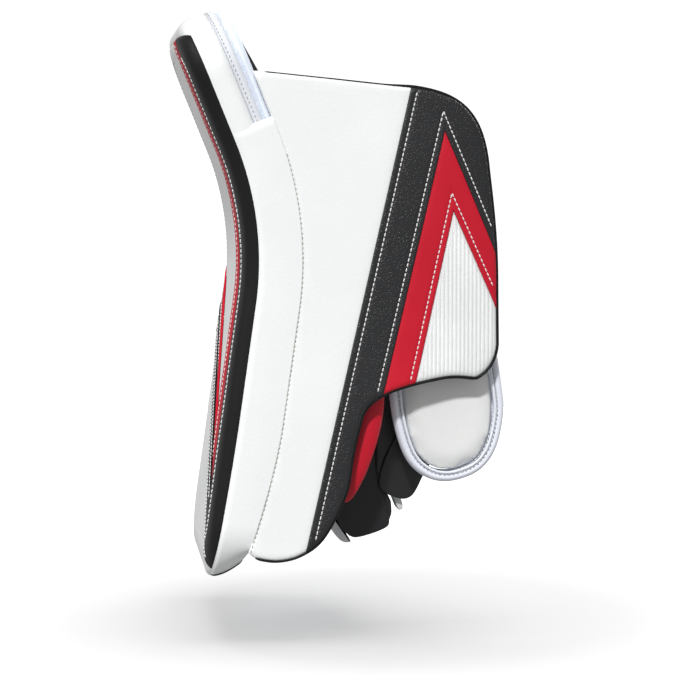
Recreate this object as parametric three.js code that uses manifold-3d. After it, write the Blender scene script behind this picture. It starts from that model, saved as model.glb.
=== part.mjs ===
// Ice-hockey goalie blocker, right hand, senior size, as an assembly of separate pieces.
// Millimetres. +Z points to the cuff, -Y out of the blocking face and +X to the thumb side.
// The origin is the centre of the grip, where the stick crosses the palm.
import * as THREE from "three";
import { mergeVertices } from "three/addons/utils/BufferGeometryUtils.js";
import Module from "manifold-3d";

const wasm = await Module();
wasm.setup();

const { clamp, degToRad, lerp } = THREE.MathUtils;

// ---------------------------------------------------------------- driving dimensions

const GAP = 0.3; // clearance between neighbouring pieces
const SKIN = 1.3; // leather and its backing

// The board is a flat plate bent once: its top and its lower part both lean forward.
// Distances along it, s, run up the face from the point that is set back furthest.
const BOARD = {
  halfWidth: 101.5,
  corner: 40,
  bendRadius: 195,
  topLean: degToRad(22),
  lowLean: degToRad(8.2),
  setBack: { y: -107, z: 103 },
  bottom: -212,
  top: 160,
  thickness: 36.5,
  tipThickness: 22,
  taperFrom: -105,
  roll: 7, // radius of the padded roll round the face
};

// Depths behind the face where each layer of the board starts and ends, before the taper.
const LAYER = {
  cover: [0, BOARD.roll + 0.5],
  core: [SKIN + GAP, 21.5],
  stiffener: [21.8, 23.3],
  edge: [BOARD.roll + 0.8, 23.3],
  middle: [23.6, 30.2],
  back: [30.5, BOARD.thickness],
  patch: [36.8, 38.5],
  backhand: [38.8, 50],
};

// The thumb-side wall stands on the board's back, flush with its side, and turns in towards its rear edge.
const WALL = {
  outer: 103,
  turnFrom: -20,
  turnLength: 80,
  turnIn: 8,
  core: [1.6, 9.2],
  lining: [9.5, 10.6],
  piping: 2.4,
};

const HAND = { half: 47, leather: 3, palm: -12, low: 20, high: 108 };
const CUFF = { half: 52, wall: 4, rear: 3, low: 112, high: 206, reach: 28 };
const STRAP = { low: 135, high: 173, from: -54, to: 47, inner: 5.9, outer: 8.4 };

// Finger stalls, from the thumb side. Each hangs straight down and has a second bend half way.
const FINGER = {
  pitch: 22.6,
  width: 21,
  front: -36,
  palm: -14,
  wall: 2,
  top: 14,
  bend: -31,
  guard: -42,
  indexGuard: -43.5,
};
const FINGERS = [
  { name: "index", tip: -78 },
  { name: "middle", tip: -84 },
  { name: "ring", tip: -80 },
  { name: "little", tip: -68 },
];

const THUMB = { inner: 48.8, outer: 67, front: 14, rear: 42, wall: 2, low: -30, high: 48 };
const GUARD = { inner: 67.4, outer: 80.4, binding: 6.5 };
const GUSSET = { inner: 47.3, outer: 66.5, leather: 2.5 };

const COLOUR = { white: 0xf1f2f0, black: 0x161617, red: 0xb5121f, grey: 0xb9b6b0, ice: 0xdfe6fa };

// ---------------------------------------------------------------- shape helpers

const group = new THREE.Group();

function solid(geometry) {
  const bare = geometry.clone();
  bare.deleteAttribute("normal");
  bare.deleteAttribute("uv");
  const merged = mergeVertices(bare, 1e-4);
  const mesh = new wasm.Mesh({
    numProp: 3,
    vertProperties: new Float32Array(merged.attributes.position.array),
    triVerts: new Uint32Array(merged.index.array),
  });
  return new wasm.Manifold(mesh);
}

function geometryOf(body) {
  const mesh = body.getMesh();
  const geometry = new THREE.BufferGeometry();
  geometry.setAttribute("position", new THREE.BufferAttribute(new Float32Array(mesh.vertProperties), 3));
  geometry.setIndex(new THREE.BufferAttribute(new Uint32Array(mesh.triVerts), 1));
  geometry.computeVertexNormals();
  return geometry;
}

function add(name, shape, color, roughness = 0.6) {
  const geometry = shape.isBufferGeometry ? shape : geometryOf(shape);
  const material = new THREE.MeshStandardMaterial({ color: COLOUR[color], roughness, metalness: 0 });
  const mesh = new THREE.Mesh(geometry, material);
  mesh.name = name;
  group.add(mesh);
}

// Triangles over one closed ring of points, running the ring's own way round.
function capOf(ring) {
  const normal = new THREE.Vector3();
  ring.forEach((p, i) => normal.add(p.clone().cross(ring[(i + 1) % ring.length])));
  const turn = new THREE.Quaternion().setFromUnitVectors(normal.normalize(), new THREE.Vector3(0, 0, 1));
  const flat = ring.map((p) => p.clone().applyQuaternion(turn));
  const faces = THREE.ShapeUtils.triangulateShape(flat.map((p) => new THREE.Vector2(p.x, p.y)), []);
  return faces.map(([a, b, c]) => {
    const [toB, toC] = [flat[b].clone().sub(flat[a]), flat[c].clone().sub(flat[a])];
    return toB.x * toC.y > toC.x * toB.y ? [a, b, c] : [a, c, b];
  });
}

// A closed solid through rings of equally many points, which run either way round.
function loft(rings) {
  const count = rings[0].length;
  const index = [];
  for (let r = 0; r + 1 < rings.length; r++) {
    for (let i = 0; i < count; i++) {
      const j = (i + 1) % count;
      const [a, b, c, d] = [r * count + i, r * count + j, (r + 1) * count + j, (r + 1) * count + i];
      index.push(a, b, c, a, c, d);
    }
  }
  const last = (rings.length - 1) * count;
  capOf(rings[0]).forEach(([a, b, c]) => index.push(a, c, b));
  capOf(rings.at(-1)).forEach(([a, b, c]) => index.push(last + a, last + b, last + c));
  const points = rings.flat();
  let volume = 0;
  for (let i = 0; i < index.length; i += 3) {
    const [a, b, c] = [points[index[i]], points[index[i + 1]], points[index[i + 2]]];
    volume += a.dot(b.clone().cross(c));
  }
  const geometry = new THREE.BufferGeometry().setFromPoints(points);
  geometry.setIndex(volume > 0 ? index : index.reverse());
  geometry.computeVertexNormals();
  return geometry;
}

function extruded(points, depth) {
  const outline = THREE.ShapeUtils.isClockWise(points) ? points.slice().reverse() : points;
  return new THREE.ExtrudeGeometry(new THREE.Shape(outline), { depth, bevelEnabled: false });
}

const pointsOf = (pairs) => pairs.map(([u, v]) => new THREE.Vector2(u, v));

// An outline of (x, y) points carried up from z = low to z = high.
function prismZ(points, low, high) {
  return solid(extruded(points, high - low).translate(0, 0, low));
}

// An outline of (y, z) points carried across from x = low to x = high.
const ACROSS = new THREE.Matrix4().makeBasis(
  new THREE.Vector3(0, 1, 0),
  new THREE.Vector3(0, 0, 1),
  new THREE.Vector3(1, 0, 0),
);
function prismX(points, low, high) {
  return solid(extruded(points, high - low).applyMatrix4(ACROSS).translate(low, 0, 0));
}

// An outline of (x, z) points carried right through the board.
const FORWARD = new THREE.Matrix4().makeBasis(
  new THREE.Vector3(1, 0, 0),
  new THREE.Vector3(0, 0, 1),
  new THREE.Vector3(0, -1, 0),
);
function prismY(points) {
  const [rear, depth] = [-60, 130];
  return solid(extruded(points, depth).applyMatrix4(FORWARD).translate(0, rear, 0));
}

function block(low, high) {
  const size = high.map((v, i) => v - low[i]);
  const middle = high.map((v, i) => (v + low[i]) / 2);
  return solid(new THREE.BoxGeometry(...size).translate(...middle));
}

// An open line of points moved sideways: positive moves it to its left.
function offsetLine(points, distance) {
  return points.map((p, i) => {
    const [before, after] = [points[Math.max(i - 1, 0)], points[Math.min(i + 1, points.length - 1)]];
    const along = after.clone().sub(before).normalize();
    return new THREE.Vector2(p.x - along.y * distance, p.y + along.x * distance);
  });
}

// ---------------------------------------------------------------- the board's own coordinates

function faceAt(s) {
  const lean = clamp(s / BOARD.bendRadius, -BOARD.lowLean, BOARD.topLean);
  const past = s - lean * BOARD.bendRadius;
  const y = BOARD.setBack.y - BOARD.bendRadius * (1 - Math.cos(lean)) - past * Math.sin(lean);
  const z = BOARD.setBack.z + BOARD.bendRadius * Math.sin(lean) + past * Math.cos(lean);
  return { y, z, lean };
}

// The layers thin out together towards the board's finger end.
function taperAt(s) {
  const share = clamp((BOARD.taperFrom - s) / (BOARD.taperFrom - BOARD.bottom), 0, 1);
  return 1 - (1 - BOARD.tipThickness / BOARD.thickness) * share ** 1.6;
}

function onBoard(x, s, depth) {
  const { y, z, lean } = faceAt(s);
  const d = depth * taperAt(s);
  return new THREE.Vector3(x, y + d * Math.cos(lean), z + d * Math.sin(lean));
}

const CORNER_ROWS = [0, 0.04, 0.12, 0.25, 0.5, 1];
const MIDDLE_ROWS = [-150, -127, -105, -28, -10, 8, 26, 44, 60, 75];

function rowsBetween(from, to) {
  return [from, ...MIDDLE_ROWS.filter((s) => s > from + 1 && s < to - 1), to];
}

function fullRows(inset) {
  const corner = BOARD.corner - inset;
  const low = CORNER_ROWS.map((share) => BOARD.bottom + inset + share * corner);
  const high = CORNER_ROWS.map((share) => BOARD.top - inset - share * corner);
  return [...low, ...MIDDLE_ROWS, ...high.reverse()];
}

function halfWidthAt(s, inset = 0) {
  const corner = BOARD.corner - inset;
  const fromEnd = Math.min(s - BOARD.bottom, BOARD.top - s) - inset;
  const short = Math.max(corner - fromEnd, 0);
  return BOARD.halfWidth - BOARD.corner + Math.sqrt(Math.max(corner ** 2 - short ** 2, 0));
}

// A ring across the board with its two front corners rounded.
function crossRing(s, half, front, back, round) {
  const steps = 3;
  const side = [];
  for (let k = 0; k <= steps; k++) {
    const angle = (k / steps) * (Math.PI / 2);
    side.push([half - round + round * Math.cos(angle), front + round - round * Math.sin(angle)]);
  }
  const right = [[half, back], ...side];
  const left = right.slice().reverse().map(([x, depth]) => [-x, depth]);
  return [...right, ...left].map(([x, depth]) => onBoard(x, s, depth));
}

// The whole board outline, inset from its edge, between two depths. The front edge is rounded all round.
function boardPlate(inset, front, back, round = 0.4) {
  const rings = fullRows(inset).map((s) => {
    const fromEnd = Math.min(s - BOARD.bottom, BOARD.top - s) - inset;
    const short = Math.max(round - fromEnd, 0);
    const lifted = front + (round - Math.sqrt(Math.max(round ** 2 - short ** 2, 0)));
    const radius = Math.min(round, (back - lifted) * 0.9);
    return crossRing(s, halfWidthAt(s, inset), lifted, back, radius);
  });
  return solid(loft(rings));
}

// A pad on the board's back: its half width and rear depth may change along it.
function boardPad(from, to, half, front, rear) {
  const rings = rowsBetween(from, to).map((s) => {
    const share = (s - from) / (to - from);
    const [x, depth] = [lerp(half[0], half[1], share), lerp(rear[0], rear[1], share)];
    const corners = [[x, front], [x, depth], [-x, depth], [-x, front]];
    return corners.map(([u, d]) => onBoard(u, s, d));
  });
  return solid(loft(rings));
}

// ---------------------------------------------------------------- blocking board

// The face's cover is a tray with a rolled edge, cut along the chevron's lines.
// The chevron opens upwards: its near arm runs up the thumb side and its far arm crosses the face.
const CHEVRON = { blackRed: 66, redWhite: 24, farEdge: -110 };
const FAR_ARM = {
  outer: { from: [84, -101], rise: 0.854 },
  middle: { from: [CHEVRON.blackRed, -57], rise: 0.784 },
  inner: { from: [CHEVRON.redWhite, -14], rise: 0.944 },
};

// The corner of the face above one line of the far arm and to the far side of x, moved by grow.
function aboveArm(arm, grow) {
  const [x, z] = arm.from;
  const far = z + (x - CHEVRON.farEdge) * arm.rise;
  const { farEdge } = CHEVRON;
  const line = [[x + grow, z - grow], [farEdge, far - grow * 1.4]];
  return prismY(pointsOf([[x + grow, 300], ...line, [farEdge, 300]]));
}

function addBoard() {
  const [front, back] = LAYER.cover;
  const hollow = boardPlate(SKIN, front + SKIN, back + 4, BOARD.roll - SKIN);
  const cover = boardPlate(0, front, back, BOARD.roll).subtract(hollow);
  const half = GAP / 2;
  const [x, z] = FAR_ARM.outer.from;
  const { farEdge } = CHEVRON;
  const far = z + (x - farEdge) * FAR_ARM.outer.rise;
  const toe = (grow) => {
    const line = [[x + grow, z + grow], [farEdge, far + grow * 1.4]];
    return prismY(pointsOf([[x + grow, -200], ...line, [farEdge, -200]]));
  };
  add("face_white_panel", cover.intersect(aboveArm(FAR_ARM.inner, -half)), "white", 0.5);
  const red = cover.intersect(aboveArm(FAR_ARM.middle, -half)).subtract(aboveArm(FAR_ARM.inner, half));
  add("face_red_chevron", red, "red", 0.45);
  add("face_toe_panel", cover.intersect(toe(-half)), "white", 0.5);
  const black = cover.subtract(aboveArm(FAR_ARM.middle, half)).subtract(toe(half));
  add("face_black_chevron", black, "black", 0.5);
  add("board_foam_core", boardPlate(SKIN + GAP, ...LAYER.core, BOARD.roll - SKIN - GAP), "ice", 0.9);
  add("board_stiffener", boardPlate(SKIN + GAP, ...LAYER.stiffener), "grey", 0.4);
  const [low, high] = LAYER.edge;
  const edge = boardPlate(0, low, high).subtract(boardPlate(SKIN, low - 2, high + 2));
  add("board_edge_cover", edge, "white", 0.5);
  add("board_middle_layer", boardPlate(0.5, ...LAYER.middle), "white", 0.8);
  add("board_back_layer", boardPlate(1.5, ...LAYER.back), "ice", 0.9);
}

// The wall's flange laps over the side of the board and is sewn to it.
function addFlange() {
  const [from, to] = [-196, 82];
  const corner = CORNER_ROWS.map((share) => BOARD.bottom + share * BOARD.corner);
  const rows = [from, ...corner.filter((s) => s > from + 1), ...MIDDLE_ROWS, to];
  const rings = rows.map((s) => {
    const x = halfWidthAt(s) + GAP;
    return [[x, 8], [x + 1.2, 8], [x + 1.2, 36.2], [x, 36.2]].map(([u, d]) => onBoard(u, s, d));
  });
  add("wall_flange", loft(rings), "white", 0.5);
}

// ---------------------------------------------------------------- thumb-side wall

function wallX(y) {
  return WALL.outer - WALL.turnIn * clamp((y - WALL.turnFrom) / WALL.turnLength, 0, 1.2) ** 2;
}

// A sheet that follows the wall's turn, between two depths in from its outer face.
function wallSheet(from, to) {
  const ys = [-150, WALL.turnFrom, 0, 15, 30, 45, 70];
  const outer = ys.map((y) => new THREE.Vector2(wallX(y) - from, y));
  const inner = ys.map((y) => new THREE.Vector2(wallX(y) - to, y));
  return prismZ([...outer, ...inner.reverse()], -120, 240);
}

function boardBackLine(from, to, clearance) {
  const rows = [from, ...MIDDLE_ROWS.filter((s) => s > from && s < to), to];
  return rows.map((s) => {
    const { y, z } = onBoard(0, s, BOARD.thickness + clearance);
    return new THREE.Vector2(y, z);
  });
}

// Outlines are carried across between these, and cut by the wall's own sheet.
const WALL_SPAN = [70, 110];

// The wall's free rim, from the board's top round to its finger end, as (y, z).
function wallRim() {
  const path = new THREE.Path();
  path.moveTo(-98.5, 221.6);
  path.lineTo(-48, 216.3);
  path.lineTo(2, 211);
  path.bezierCurveTo(34, 207, 49, 198, 53, 160);
  path.bezierCurveTo(57, 130, 59, 110, 59, 80);
  path.lineTo(59.5, 46);
  path.quadraticCurveTo(58, 31, 45, 24.5);
  path.splineThru(pointsOf([
    [24, 25.5], [-10, 17.6], [-28, 6.6], [-34, -9], [-38, -27],
    [-42.5, -51], [-57, -79], [-72, -90.5], [-88, -94], [-103, -91.5],
  ]));
  return path.getPoints(3).filter((p, i, all) => i === 0 || p.distanceTo(all[i - 1]) > 0.5);
}

function wallPrism(inset) {
  const front = boardBackLine(-193 + inset, 128 - inset, GAP + inset);
  return prismX([...front, ...offsetLine(wallRim(), -inset)], ...WALL_SPAN);
}

// The area below a peak whose two sides fall at their own slopes, grown sideways by grow.
function peak({ y, z, left, right }, grow) {
  const lift = (2 * grow) / (left + right);
  const [apexY, apexZ, low] = [y - grow + left * lift, z + lift, -20];
  const drop = apexZ - low;
  const feet = [[apexY - left * drop, low], [apexY + right * drop, low]];
  return prismX(pointsOf([[apexY, apexZ], ...feet]), ...WALL_SPAN);
}

const WALL_RED = { y: 23, z: 186.5, left: 0.236, right: 0.438 };
const WALL_RIBBED = { y: 29, z: 134.7, left: 0.223, right: 0.463 };
const WALL_BAND = { y: -0.6, z: 210, slope: 0.2283 };

function addWall() {
  const skin = wallSheet(0, SKIN).intersect(wallPrism(0));
  const half = GAP / 2;
  const bandAt = (z) => WALL_BAND.y + WALL_BAND.slope * (z - WALL_BAND.z);
  const [front, high, low] = [-160, 250, -120];
  const white = (grow) => {
    const edge = [[bandAt(high) + grow, high], [bandAt(low) + grow, low]];
    return prismX(pointsOf([[front, high], ...edge, [front, low]]), ...WALL_SPAN);
  };
  add("wall_white_panel", skin.intersect(white(-half)), "white", 0.5);
  add("wall_black_panel", skin.subtract(white(half)).subtract(peak(WALL_RED, half)), "black", 0.55);
  const red = skin.intersect(peak(WALL_RED, -half)).subtract(peak(WALL_RIBBED, half));
  add("wall_red_chevron", red, "red", 0.45);
  add("wall_ribbed_panel", skin.intersect(peak(WALL_RIBBED, -half)), "white", 0.6);
  add("wall_foam_core", wallSheet(...WALL.core).intersect(wallPrism(0.8)), "ice", 0.9);
  add("wall_lining", wallSheet(...WALL.lining).intersect(wallPrism(0.8)), "black", 0.8);
  const rim = wallRim().slice(0, -1);
  const strip = [...offsetLine(rim, GAP), ...offsetLine(rim, GAP + WALL.piping).reverse()];
  add("wall_rim_piping", wallSheet(-0.4, WALL.piping).intersect(prismX(strip, ...WALL_SPAN)), "black", 0.5);
}

// The red roll lies inside the wall's lower rim, over the index finger.
function addWallRoll() {
  const path = [[-20, 22], [-25, 2], [-30, -20], [-36, -42], [-41, -57]];
  const rings = path.map(([y, z], i) => {
    const swell = Math.sin((Math.PI * (i + 0.7)) / (path.length + 0.4));
    const [thick, wide] = [4.8 * swell, 9.5 * swell];
    return Array.from({ length: 10 }, (_, k) => {
      const angle = (2 * Math.PI * k) / 10;
      return new THREE.Vector3(86.6 + thick * Math.cos(angle), y + wide * Math.sin(angle), z);
    });
  });
  add("wall_red_roll", loft(rings), "red", 0.5);
}

// ---------------------------------------------------------------- little-finger side wall

function addLittleFingerWall() {
  const outline = (inset) => {
    const rear = new THREE.Path();
    rear.moveTo(-62, 153);
    rear.splineThru(pointsOf([[-45, 138], [-32, 100], [-29, 40], [-38, -15], [-60, -48], [-84, -57]]));
    const front = boardBackLine(-160 + inset, 48 - inset, GAP + inset);
    return [...front, ...offsetLine(rear.getPoints(18), -inset)];
  };
  add("little_side_cover", prismX(outline(0), -101.5, -100.2), "white", 0.5);
  add("little_side_foam", prismX(outline(0.8), -99.9, -92.5), "ice", 0.9);
  add("little_side_lining", prismX(outline(0.8), -92.2, -91.1), "black", 0.8);
}

// ---------------------------------------------------------------- glove body

// The band in front of which the glove's shells stop, where the backhand and wrist pads are.
const padSpace = () => boardPad(-130, 158, [80, 80], 20, [51.4, 51.4]);

function addHand() {
  const { patch, backhand } = LAYER;
  add("mounting_patch", boardPad(-60, 45, [36, 36], patch[0], [patch[1], patch[1]]), "black", 0.9);
  add("backhand_pad", boardPad(-75, 58, [46, 46], backhand[0], [backhand[1], backhand[1]]), "black", 0.8);
  add("wrist_pad", boardPad(60, 150, [60, 54], patch[0], [51, 38.4]), "black", 0.8);
  const { half, leather, palm, low, high } = HAND;
  const [inHalf, inPalm, turn] = [half - leather, palm - leather, 6];
  const outline = pointsOf([
    [-half, -80], [-half, palm - turn], [-half + turn, palm],
    [half - turn, palm], [half, palm - turn], [half, -80],
    [inHalf, -80], [inHalf, inPalm - turn + 2], [inHalf - turn + 2, inPalm],
    [-inHalf + turn - 2, inPalm], [-inHalf, inPalm - turn + 2], [-inHalf, -80],
  ]);
  const thumbHole = block([half - 8, -46, 42], [half + 4, palm - turn - 2, 80]);
  add("palm", prismZ(outline, low, high).subtract(padSpace()).subtract(thumbHole), "grey", 0.7);
}

// The cuff is two bent panels. The hand goes in between them, and the strap closes them.
function addCuff() {
  const { half, wall, rear, low, high, reach } = CUFF;
  for (const [name, side] of [["cuff_thumb_panel", 1], ["cuff_little_panel", -1]]) {
    const outline = pointsOf([
      [half - wall, -80], [half, -80], [half, rear - 7], [half - 7, rear], [half - reach, rear],
      [half - reach, rear - wall], [half - 8, rear - wall], [half - wall, rear - 9],
    ].map(([x, y]) => [side * x, y]));
    add(name, prismZ(outline, low, high).subtract(padSpace()), "black", 0.75);
  }
}

// The wrist strap hinges at its anchor on the little-finger side and closes on a loop patch.
function addStrap() {
  const { low, high, from, to, inner, outer } = STRAP;
  add("strap_anchor", block([-CUFF.half - 3.4, -42, low], [-CUFF.half - GAP, 1, high]), "black", 0.8);
  const { rear } = CUFF;
  const [patchLow, patchHigh] = [low + 4, high - 4];
  add("strap_loop_patch", block([26, rear + GAP, patchLow], [44, rear + 1.3, patchHigh]), "black", 0.95);
  add("wrist_strap", block([from, inner, low], [to, outer, high]), "black", 0.7);
  add("strap_hook_patch", block([26, rear + 1.6, patchLow], [44, inner - GAP, patchHigh]), "black", 0.95);
  const tab = pointsOf([[0, low + 2], [0, high - 2], [12, high - 8], [12, low + 8]]);
  const [thick, quarter] = [3.4, -Math.PI / 2];
  const shape = extruded(tab.map((p) => p.setX(to + GAP + p.x)), thick).rotateX(-quarter);
  add("strap_pull_tab", shape.translate(0, outer, 0), "red", 0.5);
}

// ---------------------------------------------------------------- fingers

// A square tube with an open top, closed at its lower end where floor is above zero.
function stall(low, high, wall, floor) {
  const outer = block(low, high);
  const [x, y, z] = [wall, wall, floor || -1];
  const inside = block([low[0] + x, low[1] + y, low[2] + z], [high[0] - x, high[1] - y, high[2] + 1]);
  return outer.subtract(inside);
}

// The index finger's moulded guard wraps the tip; the others have a plain padded back and end.
// Each outline closes through the stall, whose room is cut out of it.
function guardOutline(name, back, tip) {
  const top = FINGER.bend - 1;
  const moulded = [
    [back, -72], [-33, -87.5], [-27, -88.5], [-6, -79.5], [-3.5, -72],
    [-4, -64], [-8, -56], [-13.3, -50], [-20, -50],
  ];
  const padded = [[back, tip + 8], [-36, tip - 4], [-24, tip - 5], [-14, tip - 2], [-14, tip + 4]];
  const end = name === "index" ? moulded : padded;
  return pointsOf([[back, top], ...end, [-20, top]]);
}

const INDEX_TABS = {
  index_back_tab: [
    [-44, -66], [-47, -72], [-45.5, -82], [-38.5, -91], [-32, -92], [-33.4, -88.2], [-44, -72.6],
  ],
  index_palm_tab: [[-12, -48], [-4, -53], [2, -60], [4.4, -68.5], [1, -70], [-2.6, -62], [-6.4, -55.4]],
};

function addFinger({ name, tip }, place) {
  const centre = FINGER.pitch * (1.5 - place);
  const [left, right] = [centre - FINGER.width / 2, centre + FINGER.width / 2];
  const { front, palm, wall, top, bend } = FINGER;
  add(name + "_stall_base", stall([left, front, bend + 1], [right, palm, top], wall, 0), "black", 0.8);
  add(name + "_stall_tip", stall([left, front, tip], [right, palm, bend - 1], wall, 3), "black", 0.8);
  const back = name === "index" ? FINGER.indexGuard : FINGER.guard;
  const [padLeft, padRight] = [left + 0.5, right - 0.5];
  const backPad = block([padLeft, back, bend + 1], [padRight, front - GAP, top - 1]);
  add(name + "_guard_base", backPad, "black", 0.6);
  const room = block([left, front - GAP, tip - GAP], [right, palm + GAP, top]);
  const guard = prismX(guardOutline(name, back, tip), padLeft, padRight);
  add(name + "_guard_tip", guard.subtract(room), "black", 0.6);
  if (name === "index") {
    for (const [tab, points] of Object.entries(INDEX_TABS)) {
      add(tab, prismX(pointsOf(points), left + 2, right - 2), "grey", 0.75);
    }
  } else {
    const low = tip + 4;
    const tab = block([left + 2, palm + GAP, low], [right - 2, palm + 2, low + 26]);
    add(name + "_palm_tab", tab, "grey", 0.75);
  }
}

// ---------------------------------------------------------------- thumb

function guardEdge() {
  const path = new THREE.Path();
  path.moveTo(-10, 52);
  path.splineThru(pointsOf([
    [-9.5, 19], [-6, -8], [2, -31], [15, -43], [31, -46],
    [50, -39.5], [61.5, -25], [66.7, -2], [65.4, 18], [60, 52],
  ]));
  return path.getPoints(34);
}

function addThumb() {
  const { inner, outer, front, rear, wall, low, high } = THUMB;
  add("thumb_stall", stall([inner, front, low], [outer, rear, high], wall, 3), "black", 0.8);
  const edge = guardEdge();
  const pad = offsetLine(edge, GUARD.binding);
  const room = offsetLine(edge, GUARD.binding - GAP);
  const top = 52;
  const trimmed = (shape, grow) => shape.subtract(block([0, -60, top - grow], [200, 120, 200]));
  const binding = prismX(edge, GUARD.inner + 1, GUARD.outer - 1).subtract(prismX(room, 0, 200));
  add("thumb_guard_pad", trimmed(prismX(pad, GUARD.inner, GUARD.outer), 3), "white", 0.55);
  add("thumb_guard_binding", trimmed(binding, 2), "white", 0.55);
  // The gusset takes the thumb from the hole in the palm's side to just above the stall's mouth.
  const arch = [[-49, 58], [-49, 74], [-36, 86], [0, 90], [30, 80], [45, 66], [45, 58]];
  const shell = prismX(pointsOf(arch), GUSSET.inner, GUSSET.outer);
  const inside = arch.map(([y, z]) => [y * 0.94 - 0.2, z > 60 ? z - GUSSET.leather : z - 5]);
  const hollow = prismX(pointsOf(inside), GUSSET.inner - 5, GUSSET.outer - GUSSET.leather);
  add("thumb_gusset", shell.subtract(hollow), "black", 0.7);
  const tab = [[20, -26], [18, -44], [10, -59], [0, -61], [-12, -53], [-9, -40], [4, -24]];
  add("thumb_web_tab", prismX(pointsOf(tab), 45.6, 48.4), "black", 0.6);
}

// ---------------------------------------------------------------- assembly

addBoard();
addFlange();
addWall();
addWallRoll();
addLittleFingerWall();
addHand();
addCuff();
addStrap();
FINGERS.forEach(addFinger);
addThumb();

export default group;
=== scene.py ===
"""Looks of the goalie blocker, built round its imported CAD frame.

Lengths in the geometry code are millimetres in the part's own frame: +Z to the cuff, -Y out of the
blocking face, +X to the thumb side. They are turned into metres when a mesh is made.
"""
import math
import random

import bmesh
import bpy
from mathutils import Matrix, Vector
from mathutils.noise import noise


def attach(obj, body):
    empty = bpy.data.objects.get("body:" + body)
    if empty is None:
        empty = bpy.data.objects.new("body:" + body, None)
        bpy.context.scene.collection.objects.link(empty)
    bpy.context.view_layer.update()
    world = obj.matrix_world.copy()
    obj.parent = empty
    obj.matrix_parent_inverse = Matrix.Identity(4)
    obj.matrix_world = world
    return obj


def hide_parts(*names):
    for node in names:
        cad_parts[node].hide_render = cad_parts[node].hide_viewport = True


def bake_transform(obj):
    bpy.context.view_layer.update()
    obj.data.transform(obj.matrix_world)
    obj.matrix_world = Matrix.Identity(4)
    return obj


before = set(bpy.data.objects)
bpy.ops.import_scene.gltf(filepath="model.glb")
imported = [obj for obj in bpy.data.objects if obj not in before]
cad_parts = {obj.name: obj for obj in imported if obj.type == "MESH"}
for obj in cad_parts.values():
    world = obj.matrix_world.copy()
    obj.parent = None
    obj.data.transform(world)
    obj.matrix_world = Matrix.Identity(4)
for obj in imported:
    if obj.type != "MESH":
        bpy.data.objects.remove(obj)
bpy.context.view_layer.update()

MM = 0.001
ROOT = "blocker"
FINGERS = {"index": -78.0, "middle": -84.0, "ring": -80.0, "little": -68.0}


def clamp(value, low, high):
    return max(low, min(high, value))


def smoothstep(low, high, value):
    share = clamp((value - low) / (high - low), 0.0, 1.0)
    return share * share * (3 - 2 * share)


def mix(a, b, share):
    return a + (b - a) * share


# ------------------------------------------------------------------ materials


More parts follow.
